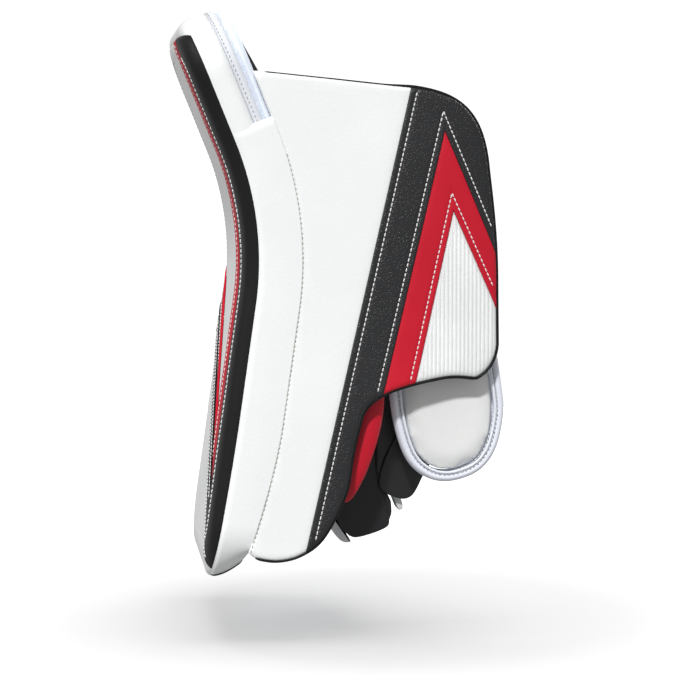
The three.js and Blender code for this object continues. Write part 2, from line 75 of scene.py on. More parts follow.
class Nodes:
    """A material's node tree, with short ways to add and join nodes."""

    def __init__(self, name):
        self.material = bpy.data.materials.new(name)
        self.material.use_nodes = True
        self.tree = self.material.node_tree
        self.tree.nodes.clear()
        self.place = self.add("ShaderNodeTexCoord").outputs["Object"]

    def add(self, kind, **values):
        node = self.tree.nodes.new(kind)
        for key, value in values.items():
            if hasattr(node, key):
                setattr(node, key, value)
            else:
                node.inputs[key.replace("_", " ")].default_value = value
        return node

    def join(self, source, node, socket):
        self.tree.links.new(source, node.inputs[socket])

    def noise(self, scale, detail=3.0, rough=0.55, warp=0.0, at=None):
        node = self.add("ShaderNodeTexNoise", Scale=scale, Detail=detail, Roughness=rough, Distortion=warp)
        self.join(at or self.place, node, "Vector")
        return node.outputs["Fac"]

    def cells(self, scale, feature="F1", randomness=1.0, at=None):
        node = self.add("ShaderNodeTexVoronoi", feature=feature, Scale=scale, Randomness=randomness)
        self.join(at or self.place, node, "Vector")
        return node.outputs["Distance"]

    def warped(self, scale, amount):
        """The object's coordinates, moved about a little by noise."""
        source = self.add("ShaderNodeTexNoise", Scale=scale, Detail=2.0)
        self.join(self.place, source, "Vector")
        centred = self.add("ShaderNodeVectorMath", operation="SUBTRACT")
        self.join(source.outputs["Color"], centred, 0)
        centred.inputs[1].default_value = (0.5, 0.5, 0.5)
        scaled = self.add("ShaderNodeVectorMath", operation="SCALE", Scale=amount)
        self.join(centred.outputs[0], scaled, 0)
        summed = self.add("ShaderNodeVectorMath", operation="ADD")
        self.join(self.place, summed, 0)
        self.join(scaled.outputs[0], summed, 1)
        return summed.outputs[0]

    def ramp(self, source, low, high, from_value=0.0, to_value=1.0):
        node = self.add("ShaderNodeMapRange")
        node.clamp = True
        for socket, value in zip(("From Min", "From Max", "To Min", "To Max"), (low, high, from_value, to_value)):
            node.inputs[socket].default_value = value
        self.join(source, node, "Value")
        return node.outputs["Result"]

    def maths(self, operation, a, b):
        node = self.add("ShaderNodeMath", operation=operation)
        for i, value in enumerate((a, b)):
            if isinstance(value, (int, float)):
                node.inputs[i].default_value = value
            else:
                self.join(value, node, i)
        return node.outputs[0]

    def tint(self, factor, a, b):
        node = self.add("ShaderNodeMix", data_type="RGBA")
        self.join(factor, node, 0)
        node.inputs[6].default_value = (*a, 1.0)
        node.inputs[7].default_value = (*b, 1.0)
        return node.outputs[2]

    def over(self, factor, under, colour):
        """colour laid over another colour by factor."""
        node = self.add("ShaderNodeMix", data_type="RGBA")
        self.join(factor, node, 0)
        self.join(under, node, 6)
        node.inputs[7].default_value = (*colour, 1.0)
        return node.outputs[2]

    def wave(self, direction, scale, profile="SIN"):
        node = self.add("ShaderNodeTexWave", bands_direction=direction, wave_profile=profile, Scale=scale)
        self.join(self.place, node, "Vector")
        return node.outputs["Fac"]

    def bump(self, height, strength, distance, before=None):
        node = self.add("ShaderNodeBump", Strength=strength, Distance=distance)
        self.join(height, node, "Height")
        if before is not None:
            self.join(before, node, "Normal")
        return node.outputs["Normal"]

    def finish(self, colour, roughness, normal=None, **constants):
        shader = self.add("ShaderNodeBsdfPrincipled")
        self.join(colour, shader, "Base Color")
        self.join(roughness, shader, "Roughness")
        if normal is not None:
            self.join(normal, shader, "Normal")
        for socket, value in constants.items():
            shader.inputs[socket.replace("_", " ")].default_value = value
        output = self.add("ShaderNodeOutputMaterial")
        self.join(shader.outputs[0], output, "Surface")
        return self.material


def darker(colour, share):
    return tuple(c * share for c in colour)


def leather(name, colour, rough, grain=620.0, depth=0.3, spread=0.06, wear=None, coat=0.0, specular=0.5):
    """Synthetic leather: cell grain, fine pores with painted shade in them, slow colour change and rubbed edges."""
    n = Nodes(name)
    place = n.warped(90.0, 0.003)
    cells = n.cells(grain, at=place)
    fine = n.noise(grain * 3.2, 2.0, 0.6)
    slow = n.noise(14.0, 4.0, 0.6)
    base = n.tint(n.ramp(slow, 0.3, 0.7), darker(colour, 1 - spread), colour)
    # Painted shade: the grain's pores, where the bump sinks lowest, are darkened towards a darker copy of the colour.
    crease = n.ramp(cells, 0.0, 0.42, 0.0, 1.0)
    base = n.over(n.ramp(crease, 0.0, 1.0, 0.10, 0.0), base, darker(colour, 0.55))
    if wear:
        edges = n.ramp(n.add("ShaderNodeNewGeometry").outputs["Pointiness"], 0.53, 0.62)
        rubbed = n.maths("MULTIPLY", edges, n.ramp(n.noise(160.0), 0.4, 0.7))
        base = n.over(rubbed, base, wear)
    roughness = n.maths("ADD", n.ramp(slow, 0.3, 0.7, rough - 0.05, rough + 0.05), n.ramp(cells, 0.0, 0.6, 0.07, 0.0))
    height = n.maths("ADD", n.ramp(cells, 0.0, 0.45), n.maths("MULTIPLY", fine, 0.25))
    folds = n.bump(n.noise(34.0, 3.0), 0.10, 0.0015)
    normal = n.bump(height, depth, 0.0003, folds)
    return n.finish(base, roughness, normal, Coat_Weight=coat, Coat_Roughness=0.3, Specular_IOR_Level=specular)


def woven(name, colour, rough=0.85, pitch=1.1, depth=0.4, spread=0.18, sheen=0.05, gap=0.35):
    """Plain woven cloth: threads crossing at pitch millimetres, with painted shade in the gaps between threads, fluff
    and slow changes of tone.
    """
    n = Nodes(name)
    scale = 1000.0 / pitch / 3.183 / 2
    upright = n.wave("Z", scale)
    across = n.wave("DIAGONAL", scale * 1.414)
    lengthways = n.wave("X", scale)
    threads = n.maths("MAXIMUM", n.maths("MULTIPLY", upright, across), n.maths("MULTIPLY", lengthways, across))
    slow = n.noise(22.0, 4.0)
    base = n.tint(n.ramp(slow, 0.3, 0.7), darker(colour, 1 - spread), colour)
    # Painted shade: where the threads sink into gaps, the colour is darkened by gap.
    base = n.over(n.ramp(threads, 0.0, 0.5, gap, 0.0), base, darker(colour, 0.4))
    fluff = n.noise(2600.0, 2.0)
    height = n.maths("ADD", threads, n.maths("MULTIPLY", fluff, 0.35))
    folds = n.bump(n.noise(30.0, 3.0), 0.12, 0.002)
    normal = n.bump(height, depth, 0.0003, folds)
    roughness = n.ramp(threads, 0.0, 1.0, rough, rough - 0.1)
    return n.finish(base, roughness, normal, Sheen_Weight=sheen, Sheen_Roughness=0.4, Specular_IOR_Level=0.3)


def foam(name, colour, rough=0.9, scale=1300.0, depth=0.25):
    """Closed-cell foam or felt: fine pits with painted shade in them, mottled colour."""
    n = Nodes(name)
    pits = n.cells(scale)
    slow = n.noise(18.0, 5.0)
    base = n.tint(n.ramp(slow, 0.3, 0.7), darker(colour, 0.93), colour)
    # Painted shade: the pits, where the bump sinks, are darkened.
    base = n.over(n.ramp(pits, 0.0, 0.35, 0.18, 0.0), base, darker(colour, 0.6))
    height = n.maths("ADD", pits, n.noise(scale * 0.4, 3.0))
    normal = n.bump(height, depth, 0.0003, n.bump(n.noise(25.0), 0.1, 0.002))
    return n.finish(base, n.ramp(slow, 0.0, 1.0, rough - 0.05, rough + 0.05), normal, Specular_IOR_Level=0.25)


def moulded(name, colour, rough=0.5, depth=0.12, speckle=900.0, specular=0.4):
    """Moulded rubber or plastic: fine texture, faint scuffs."""
    n = Nodes(name)
    slow = n.noise(20.0, 4.0)
    scuffs = n.ramp(n.noise(260.0, 5.0, 0.7, 1.5), 0.62, 0.75)
    base = n.tint(n.ramp(slow, 0.3, 0.7), darker(colour, 0.88), colour)
    base = n.over(n.maths("MULTIPLY", scuffs, 0.12), base, tuple(min(1.0, c + 0.12) for c in colour))
    normal = n.bump(n.cells(speckle), depth, 0.0002, n.bump(n.noise(40.0), 0.06, 0.001))
    roughness = n.maths("ADD", n.ramp(slow, 0.3, 0.7, rough - 0.06, rough + 0.06), n.maths("MULTIPLY", scuffs, 0.15))
    return n.finish(base, roughness, normal, Specular_IOR_Level=specular)


def pile(name, colour):
    """Hook or loop pile: a dense field of tiny loops."""
    n = Nodes(name)
    loops = n.cells(1500.0, randomness=0.8)
    base = n.tint(n.ramp(loops, 0.1, 0.6), tuple(c * 2.2 for c in colour), colour)
    normal = n.bump(loops, 0.8, 0.0006)
    return n.finish(base, n.ramp(loops, 0.0, 1.0, 0.8, 0.95), normal, Sheen_Weight=0.4)


def thread(name, colour):
    """Sewing thread: tight twisted strands, with painted shade in the grooves between them."""
    n = Nodes(name)
    twist = n.wave("DIAGONAL", 620.0)
    # Painted shade: the grooves of the twist, where the bump sinks, are darker.
    base = n.tint(twist, darker(colour, 0.82), colour)
    return n.finish(base, n.ramp(twist, 0.0, 1.0, 0.6, 0.7), n.bump(twist, 0.3, 0.0001), Sheen_Weight=0.2)


WHITE = (0.86, 0.875, 0.872)
BLACK = (0.012, 0.012, 0.0135)
RED = (0.58, 0.006, 0.024)
MATERIAL = {
    "white_leather": leather("white_leather", WHITE, 0.42, depth=0.16, spread=0.03),
    "face_leather": leather("face_leather", (0.80, 0.81, 0.805), 0.45, depth=0.16, spread=0.04),
    "black_grain": leather("black_grain", (0.0145, 0.015, 0.0165), 0.40, grain=680.0, depth=0.8, wear=(0.045, 0.045, 0.048)),
    "black_leather": leather("black_leather", BLACK, 0.30, depth=0.2, wear=(0.05, 0.05, 0.055)),
    "red_leather": leather("red_leather", RED, 0.4, depth=0.14, spread=0.12, specular=0.35),
    "face_black": leather("face_black", (0.009, 0.009, 0.010), 0.42, depth=0.2, wear=(0.03, 0.03, 0.032), specular=0.2),
    "face_red": leather("face_red", RED, 0.5, depth=0.14, spread=0.12, specular=0.08),
    "palm_leather": leather("palm_leather", (0.70, 0.715, 0.73), 0.72, grain=380.0, depth=0.35, spread=0.15),
    "guard_leather": leather("guard_leather", (0.80, 0.81, 0.80), 0.5, depth=0.12, spread=0.04),
    "ribbed": moulded("ribbed", WHITE, 0.45, depth=0.08),
    "black_fabric": woven("black_fabric", (0.016, 0.016, 0.018)),
    "white_fabric": woven("white_fabric", (0.73, 0.75, 0.80), pitch=0.9, depth=0.12, spread=0.04, gap=0.06),
    "webbing": woven("webbing", (0.014, 0.014, 0.016), pitch=1.6, depth=0.7),
    "binding": woven("binding", (0.83, 0.86, 0.94), pitch=0.8, depth=0.2, spread=0.04, gap=0.08),
    "ice_foam": foam("ice_foam", (0.84, 0.90, 1.0)),
    "foam": foam("foam", (0.78, 0.80, 0.84)),
    "guard_black": moulded("guard_black", (0.014, 0.014, 0.016), 0.42),
    "red_rubber": moulded("red_rubber", RED, 0.5),
    "stiffener": moulded("stiffener", (0.35, 0.35, 0.36), 0.35),
    "pile": pile("pile", (0.012, 0.012, 0.013)),
    "white_thread": thread("white_thread", (0.85, 0.85, 0.85)),
    "tan_thread": thread("tan_thread", (0.50, 0.49, 0.42)),
    "black_thread": thread("black_thread", (0.02, 0.02, 0.02)),
    "grey_thread": thread("grey_thread", (0.45, 0.45, 0.44)),
}


# ------------------------------------------------------------------ making pieces


def mesh_object(name, points, faces):
    mesh = bpy.data.meshes.new(name)
    mesh.from_pydata([Vector(p) * MM for p in points], [], faces)
    mesh.validate()
    obj = bpy.data.objects.new(name, mesh)
    bpy.context.collection.objects.link(obj)
    return obj


def dress(obj, material, body=ROOT, nodes=(), between=None):
    """Gives a finished piece its material and smooth faces, fixes it to its body unless between is given, and hides the
    CAD nodes that it stands for.
    """
    obj.data.materials.clear()
    obj.data.materials.append(MATERIAL[material])
    for polygon in obj.data.polygons:
        polygon.use_smooth = True
    if between:
        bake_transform(obj)
    else:
        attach(obj, body)
    if nodes:
        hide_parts(*nodes)
    return obj


def applied(obj):
    """Applies every modifier on obj."""
    graph = bpy.context.evaluated_depsgraph_get()
    mesh = bpy.data.meshes.new_from_object(obj.evaluated_get(graph))
    obj.modifiers.clear()
    obj.data = mesh
    return obj


def solidified(obj, thickness):
    """Gives a sheet its thickness, inwards from the side that its faces point to."""
    modifier = obj.modifiers.new("thickness", "SOLIDIFY")
    modifier.thickness = thickness * MM
    modifier.offset = -1.0
    modifier.use_even_offset = False
    return applied(obj)


def subdivided(obj, levels=1):
    modifier = obj.modifiers.new("round", "SUBSURF")
    modifier.levels = modifier.render_levels = levels
    return applied(obj)


def node_copy(node, name):
    """A new object with a CAD node's mesh, in the row frame."""
    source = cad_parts[node]
    obj = bpy.data.objects.new(name, source.data.copy())
    obj.matrix_world = source.matrix_world.copy()
    bpy.context.collection.objects.link(obj)
    bpy.context.view_layer.update()
    obj.data.transform(obj.matrix_world)
    obj.matrix_world = Matrix.Identity(4)
    obj.data.materials.clear()
    return obj


def softened(node, material, voxel=1.2, rounds=8, body=ROOT, name=None, puff=0.0, wrinkle=0.0, between=None):
    """A CAD node's shape with its edges rounded off, as foam or folded leather has them."""
    obj = node_copy(node, name or node + "_soft")
    remesh = obj.modifiers.new("even", "REMESH")
    remesh.mode = "VOXEL"
    remesh.voxel_size = voxel * MM
    smooth = obj.modifiers.new("smooth", "SMOOTH")
    smooth.factor = 0.5
    smooth.iterations = rounds
    applied(obj)
    for vertex in obj.data.vertices if puff or wrinkle else ():
        crease = wrinkle * (noise(vertex.co * 42.0) + 0.4 * noise(vertex.co * 130.0)) if wrinkle else 0.0
        vertex.co += vertex.normal * (puff + crease) * MM
    return dress(obj, material, body, (node,), between)


def inflated(node, name, voxel, cap, shrink, pressure=4.0):
    """A padded copy of a CAD node: its skin swells under pressure, held near the solid by cap."""
    obj = node_copy(node, name)
    remesh = obj.modifiers.new("even", "REMESH")
    remesh.mode = "VOXEL"
    remesh.voxel_size = voxel * MM
    applied(obj)
    for vertex in obj.data.vertices:
        vertex.co -= vertex.normal * shrink * MM
    start = [v.co.copy() for v in obj.data.vertices]
    cloth = obj.modifiers.new("cloth", "CLOTH")
    cloth.settings.use_pressure = True
    cloth.settings.uniform_pressure_force = pressure
    cloth.settings.effector_weights.gravity = 0.0
    cloth.settings.quality = 5
    cloth.point_cache.frame_start = 1
    cloth.point_cache.frame_end = 20
    for number in range(1, 21):
        bpy.context.scene.frame_set(number)
    applied(obj)
    bpy.context.scene.frame_set(1)
    for vertex, before in zip(obj.data.vertices, start):
        move = vertex.co - before
        if move.length > cap * MM:
            vertex.co = before + move.normalized() * cap * MM
    smooth = obj.modifiers.new("smooth", "SMOOTH")
    smooth.factor = 0.5
    smooth.iterations = 3
    applied(obj)
    return subdivided(obj)


def cut_flat(rings, lines):
    """A flat mesh inside nested closed rings, cut along straight lines given as (point, normal).

    Returns its points and its faces.
    """
    bm = bmesh.new()
    loops = [[bm.verts.new((u, v, 0.0)) for u, v in ring] for ring in rings]
    for outer, inner in zip(loops, loops[1:]):
        for i in range(len(outer)):
            j = (i + 1) % len(outer)
            bm.faces.new((outer[i], outer[j], inner[j], inner[i]))
    bm.faces.new(loops[-1])
    for (u, v), (nu, nv) in lines:
        bmesh.ops.bisect_plane(
            bm, geom=bm.verts[:] + bm.edges[:] + bm.faces[:], dist=1e-5, plane_co=(u, v, 0), plane_no=(nu, nv, 0)
        )
    bmesh.ops.recalc_face_normals(bm, faces=bm.faces[:])
    bm.verts.index_update()
    points = [(p.co.x, p.co.y) for p in bm.verts]
    faces = [[p.index for p in f.verts] for f in bm.faces]
    if bm.faces[0].normal.z < 0:
        faces = [f[::-1] for f in faces]
    bm.free()
    return points, faces


def grid_lines(low, high, step, axis):
    count = max(1, round((high - low) / step))
    values = [low + (high - low) * k / count for k in range(1, count)]
    normal = (1, 0) if axis == 0 else (0, 1)
    return [((v, 0.0) if axis == 0 else (0.0, v), normal) for v in values]


def offset_lines(point, normal, offsets):
    """The line through point, moved along its unit normal by each offset."""
    return [((point[0] + normal[0] * o, point[1] + normal[1] * o), normal) for o in offsets]


def region_mesh(name, points, faces, inside, place):
    """The faces whose middle is inside, with each point put in space by place."""
    used = {}
    out_faces = []
    for face in faces:
        u = sum(points[i][0] for i in face) / len(face)
        v = sum(points[i][1] for i in face) / len(face)
        if inside(u, v):
            out_faces.append([used.setdefault(i, len(used)) for i in face])
    return mesh_object(name, [place(*points[i]) for i in used], out_faces)


def stitch_row(name, path, normals, material, body=ROOT, pitch=3.3, length=2.75, radius=0.45, sink=0.08, between=None):
    """Stitches along a line of points: small rounded threads, each dipping in at both ends."""
    points, faces = [], []
    travelled = [0.0]
    for a, b in zip(path, path[1:]):
        travelled.append(travelled[-1] + (b - a).length)
    count = int(travelled[-1] / pitch)
    if count < 1:
        return None
    sides, rings = 6, ((-0.5, 0.25, -0.5), (-0.38, 0.8, -0.05), (0.0, 1.0, 0.15), (0.38, 0.8, -0.05), (0.5, 0.25, -0.5))
    segment = 0
    for k in range(count):
        at = (k + 0.5) * travelled[-1] / count
        while segment + 2 < len(path) and travelled[segment + 1] < at:
            segment += 1
        span = max(travelled[segment + 1] - travelled[segment], 1e-6)
        share = (at - travelled[segment]) / span
        centre = path[segment].lerp(path[segment + 1], share)
        along = (path[segment + 1] - path[segment]).normalized()
        up = normals[segment].lerp(normals[min(segment + 1, len(normals) - 1)], share)
        up = (up - along * up.dot(along)).normalized()
        side = along.cross(up)
        first = len(points)
        for offset, wide, lift in rings:
            middle = centre + along * offset * length + up * (radius * lift + radius - sink - radius * 0.6)
            for q in range(sides):
                angle = 2 * math.pi * q / sides
                points.append(middle + (side * math.cos(angle) + up * math.sin(angle) * 0.8) * radius * wide)
        for r in range(len(rings) - 1):
            for q in range(sides):
                a, b = first + r * sides + q, first + r * sides + (q + 1) % sides
                faces.append((a, b, b + sides, a + sides))
        faces.append([first + q for q in range(sides)][::-1])
        faces.append([first + (len(rings) - 1) * sides + q for q in range(sides)])
    return dress(mesh_object(name, points, faces), material, body, between=between)


def tube(name, path, radius, material, body=ROOT, nodes=(), sides=10, closed=False, flat=1.0, ups=None, between=None):
    """A rounded cord or piping along a line of points."""
    points, faces = [], []
    count = len(path)
    for i, centre in enumerate(path):
        if closed:
            along = (path[(i + 1) % count] - path[i - 1]).normalized()
        else:
            along = (path[min(i + 1, count - 1)] - path[max(i - 1, 0)]).normalized()
        up = (ups[i] if ups else Vector((1, 0, 0)))
        up = (up - along * up.dot(along)).normalized()
        side = along.cross(up)
        swell = 1.0 if closed else min(1.0, 0.35 + 1.2 * min(i, count - 1 - i))
        for q in range(sides):
            angle = 2 * math.pi * q / sides
            points.append(centre + (side * math.cos(angle) + up * math.sin(angle) * flat) * radius * swell)
    for i in range(count if closed else count - 1):
        for q in range(sides):
            a, b = i * sides + q, i * sides + (q + 1) % sides
            c = ((i + 1) % count) * sides
            faces.append((a, b, c + (q + 1) % sides, c + q))
    if not closed:
        faces.append(list(range(sides))[::-1])
        faces.append([(count - 1) * sides + q for q in range(sides)])
    obj = mesh_object(name, points, faces)
    return dress(obj, material, body, nodes, between)


def resampled(path, step):
    """Points at even steps along a line of vectors."""
    out = [path[0].copy()]
    carry = 0.0
    for a, b in zip(path, path[1:]):
        length = (b - a).length
        at = step - carry
        while at <= length:
            out.append(a.lerp(b, at / length))
            at += step
        carry = (carry + length) % step
    if (out[-1] - path[-1]).length > step * 0.3:
        out.append(path[-1].copy())
    return out


def bezier(points, steps=12):
    """A cubic curve's points, from its four control points as tuples."""
    a, b, c, d = [Vector(p) for p in points]
    out = []
    for k in range(steps + 1):
        t = k / steps
        out.append(a * (1 - t) ** 3 + b * 3 * t * (1 - t) ** 2 + c * 3 * t * t * (1 - t) + d * t ** 3)
    return out


def spline(points, steps=8):
    """A smooth line through points given as tuples."""
    knots = [Vector(p) for p in points]
    out = []
    for i in range(len(knots) - 1):
        before = knots[max(i - 1, 0)]
        after = knots[min(i + 2, len(knots) - 1)]
        a, b = knots[i], knots[i + 1]
        ta, tb = (b - before) * 0.5, (after - a) * 0.5
        for k in range(steps):
            t = k / steps
            h = (2 * t**3 - 3 * t * t + 1, t**3 - 2 * t * t + t, 3 * t * t - 2 * t**3, t**3 - t * t)
            out.append(a * h[0] + ta * h[1] + b * h[2] + tb * h[3])
    out.append(knots[-1])
    return out


def offset_open(path, distance):
    """An open flat line of 2-D vectors moved to its left by distance."""
    out = []
    for i, p in enumerate(path):
        along = (path[min(i + 1, len(path) - 1)] - path[max(i - 1, 0)]).normalized()
        out.append(Vector((p.x - along.y * distance, p.y + along.x * distance)))
    return out


def offset_ring(ring, distance):
    """A closed ring of 2-D vectors, running anticlockwise, moved inwards by distance."""
    out = []
    count = len(ring)
    for i, p in enumerate(ring):
        a = (p - ring[i - 1]).normalized()
        b = (ring[(i + 1) % count] - p).normalized()
        na, nb = Vector((-a.y, a.x)), Vector((-b.y, b.x))
        bisector = (na + nb).normalized()
        reach = distance / max(bisector.dot(na), 0.5)
        out.append(p + bisector * reach)
    return out


def anticlockwise(ring):
    area = sum(a.x * b.y - b.x * a.y for a, b in zip(ring, ring[1:] + ring[:1]))
    return ring if area > 0 else ring[::-1]


def ring_distance(ring, u, v):
    """How far (u, v) is from a closed ring."""
    best = 1e9
    count = len(ring)
    for i in range(count):
        a, b = ring[i], ring[(i + 1) % count]
        dx, dy = b.x - a.x, b.y - a.y
        t = ((u - a.x) * dx + (v - a.y) * dy) / max(dx * dx + dy * dy, 1e-12)
        t = 0.0 if t < 0 else 1.0 if t > 1 else t
        ex, ey = u - a.x - dx * t, v - a.y - dy * t
        square = ex * ex + ey * ey
        if square < best:
            best = square
    return math.sqrt(best)


# ------------------------------------------------------------------ the board's own coordinates

HALF, CORNER, BEND = 101.5, 40.0, 195.0
TOP_LEAN, LOW_LEAN = math.radians(22), math.radians(8.2)
SET_BACK = (-107.0, 103.0)
BOTTOM, TOP = -212.0, 160.0
THICK, TIP_THICK, TAPER_FROM = 36.5, 22.0, -105.0
FLANGE = (-196.0, 82.0)
TOE_TRIM = 12.0
FLANGE_TURN = 64.0  # degrees that the flange runs round the low corner


def face_at(s):
    lean = clamp(s / BEND, -LOW_LEAN, TOP_LEAN)
    past = s - lean * BEND
    y = SET_BACK[0] - BEND * (1 - math.cos(lean)) - past * math.sin(lean)
    z = SET_BACK[1] + BEND * math.sin(lean) + past * math.cos(lean)
    return y, z, lean


def taper_at(s):
    share = clamp((TAPER_FROM - s) / (TAPER_FROM - BOTTOM), 0.0, 1.0)
    return 1 - (1 - TIP_THICK / THICK) * share**1.6


def toe_trim(s, depth):
    """How far the board's toe is cut back towards its rear face."""
    share = clamp((depth - 8.0) / 28.0, 0.0, 1.0)
    return TOE_TRIM * share**2 * smoothstep(0.0, 30.0, BOTTOM + 30.0 - s)


def on_board(x, s, depth):
    s += toe_trim(s, depth)
    y, z, lean = face_at(s)
    d = depth * taper_at(clamp(s, BOTTOM, TOP))
    return Vector((x, y + d * math.cos(lean), z + d * math.sin(lean)))


def into_board(s):
    lean = face_at(s)[2]
    return Vector((0, math.cos(lean), math.sin(lean)))


def edge_of_board(x, s):
    """(distance in from the board's outline, outward direction along the board)."""
    middle, reach = (TOP + BOTTOM) / 2, (TOP - BOTTOM) / 2
    qx, qs = abs(x) - (HALF - CORNER), abs(s - middle) - (reach - CORNER)
    sx, ss = math.copysign(1, x), math.copysign(1, s - middle)
    if qx > 0 and qs > 0:
        length = math.hypot(qx, qs)
        return CORNER - length, (sx * qx / length, ss * qs / length)
    if qx > qs:
        return CORNER - qx, (sx, 0.0)
    return CORNER - qs, (0.0, ss)


def board_outline(inset, corner_steps=14, straight_step=12.0):
    """Points round the board's outline, anticlockwise in (x, s), as (x, s)."""
    radius = CORNER - inset
    middle, reach = (TOP + BOTTOM) / 2, (TOP - BOTTOM) / 2
    centres = [(1, 1, 0), (-1, 1, 1), (-1, -1, 2), (1, -1, 3)]
    corners = []
    for cx, cs, quarter in centres:
        centre = (cx * (HALF - CORNER), middle + cs * (reach - CORNER))
        for k in range(corner_steps + 1):
            angle = (quarter + k / corner_steps) * math.pi / 2
            corners.append((centre[0] + radius * math.cos(angle), centre[1] + radius * math.sin(angle)))
    out = []
    for a, b in zip(corners, corners[1:] + corners[:1]):
        gap = math.hypot(b[0] - a[0], b[1] - a[1])
        steps = max(1, round(gap / straight_step)) if gap > straight_step else 1
        out.extend((mix(a[0], b[0], k / steps), mix(a[1], b[1], k / steps)) for k in range(steps))
    return out


# ------------------------------------------------------------------ blocking face

ROLL_WIDE, ROLL_DEEP, ROLL_STEPS = 17.0, 8.9, 14


def roll_profile():
    """How the cover turns over the board's edge: distance in along the skin, true inset, depth."""
    rows = []
    length = 0.0
    for k in range(ROLL_STEPS + 1):
        angle = math.pi / 2 * k / ROLL_STEPS
        inset = ROLL_WIDE - (ROLL_WIDE + 0.5) * math.sin(angle)
        depth = ROLL_DEEP * (1 - math.cos(angle)) - 0.2
        if rows:
            length += math.hypot(inset - rows[-1][1], depth - rows[-1][2])
        rows.append((ROLL_WIDE - length, inset, depth))
    tucked = (rows[-1][0] - 1.3, 0.8, rows[-1][2] + 0.2)
    return [tucked] + rows[::-1]


ROLL = roll_profile()
NEAR_BLACK, NEAR_RED = 66.0, 20.0
RED_SEAM = 13.0  # how far in from the red band's edge its stitches run
TOP_CAP = TOP - 8.0
GROOVE_INSET = 18.6  # the stitched groove inside the roll


def rolled(t):
    """(inset, depth) of the cover at t along the skin."""
    if t >= ROLL[-1][0]:
        return t, ROLL[-1][2]
    for a, b in zip(ROLL, ROLL[1:]):
        if t <= b[0]:
            share = clamp((t - a[0]) / (b[0] - a[0]), 0.0, 1.0)
            return mix(a[1], b[1], share), mix(a[2], b[2], share)
    return t, ROLL[-1][2]


def low_s(z):
    """s of a height on the board's flat lower part."""
    s_low = -LOW_LEAN * BEND
    z_low = SET_BACK[1] - BEND * math.sin(LOW_LEAN)
    return s_low + (z - z_low) / math.cos(LOW_LEAN)


def arm(x, z, rise):
    """A line of the chevron's far arm: a point on it and its unit normal, up and away."""
    slope = rise / math.cos(LOW_LEAN)
    length = math.hypot(slope, 1.0)
    return (x, low_s(z)), (slope / length, 1.0 / length)


ARM_OUTER, ARM_MIDDLE, ARM_INNER = arm(84, -101, 0.854), arm(NEAR_BLACK, -57, 0.784), arm(NEAR_RED, -14, 0.944)


def beyond(line, x, s):
    (px, ps), (nx, ns) = line
    return (x - px) * nx + (s - ps) * ns


def in_white(x, s):
    return min(NEAR_RED - x, beyond(ARM_INNER, x, s))


def in_red(x, s):
    return min(NEAR_BLACK - x, beyond(ARM_MIDDLE, x, s))


def in_toe(x, s):
    return -beyond(ARM_OUTER, x, s)


def lapped(distance, lift, round_off=1.0):
    """Height of an upper layer near its cut edge, which turns down to the layer below."""
    share = clamp(distance / round_off, 0.0, 1.0)
    return lift * math.sqrt(1 - (1 - share) ** 2)


def sewn(distance, at, depth=0.45, width=1.1):
    """The dip that a row of stitches pulls into a padded skin."""
    return -depth * math.exp(-(((distance - at) / width) ** 2))


def face_height(region, x, s, inset):
    """How far the face's skin stands out past the plain cover."""
    wrinkle = 0.12 * noise(Vector((x, s, 3.0)) * 0.03)
    groove = sewn(inset, GROOVE_INSET, 0.35, 1.5) if region in ("black", "white", "toe") else 0.0
    if region == "white":
        edge = max(in_white(x, s), 0.0) if s < TOP_CAP else s - TOP_CAP
        return wrinkle - 0.5 * math.exp(-edge / 2.5) + groove * 0.6
    if region == "red":
        inner, outer = -in_white(x, s), in_red(x, s)
        lift = lapped(inner, 0.9)
        return wrinkle + lift + sewn(inner, RED_SEAM, 0.3) - 0.4 * math.exp(-max(outer, 0.0) / 2.0)
    if region == "black":
        inner, outer = -in_red(x, s), -in_toe(x, s)
        lift = 0.9 + lapped(min(inner, outer), 0.9)
        return wrinkle + lift + sewn(inner, 4.0) + sewn(outer, 4.0) + groove
    return wrinkle + groove * 0.6 - 0.4 * math.exp(-max(in_toe(x, s), 0) / 2.0)


def face_region(x, s):
    if s > TOP_CAP:
        return "white"
    if in_white(x, s) > 0:
        return "white"
    if in_red(x, s) > 0:
        return "red"
    return "toe" if in_toe(x, s) > 0 else "black"


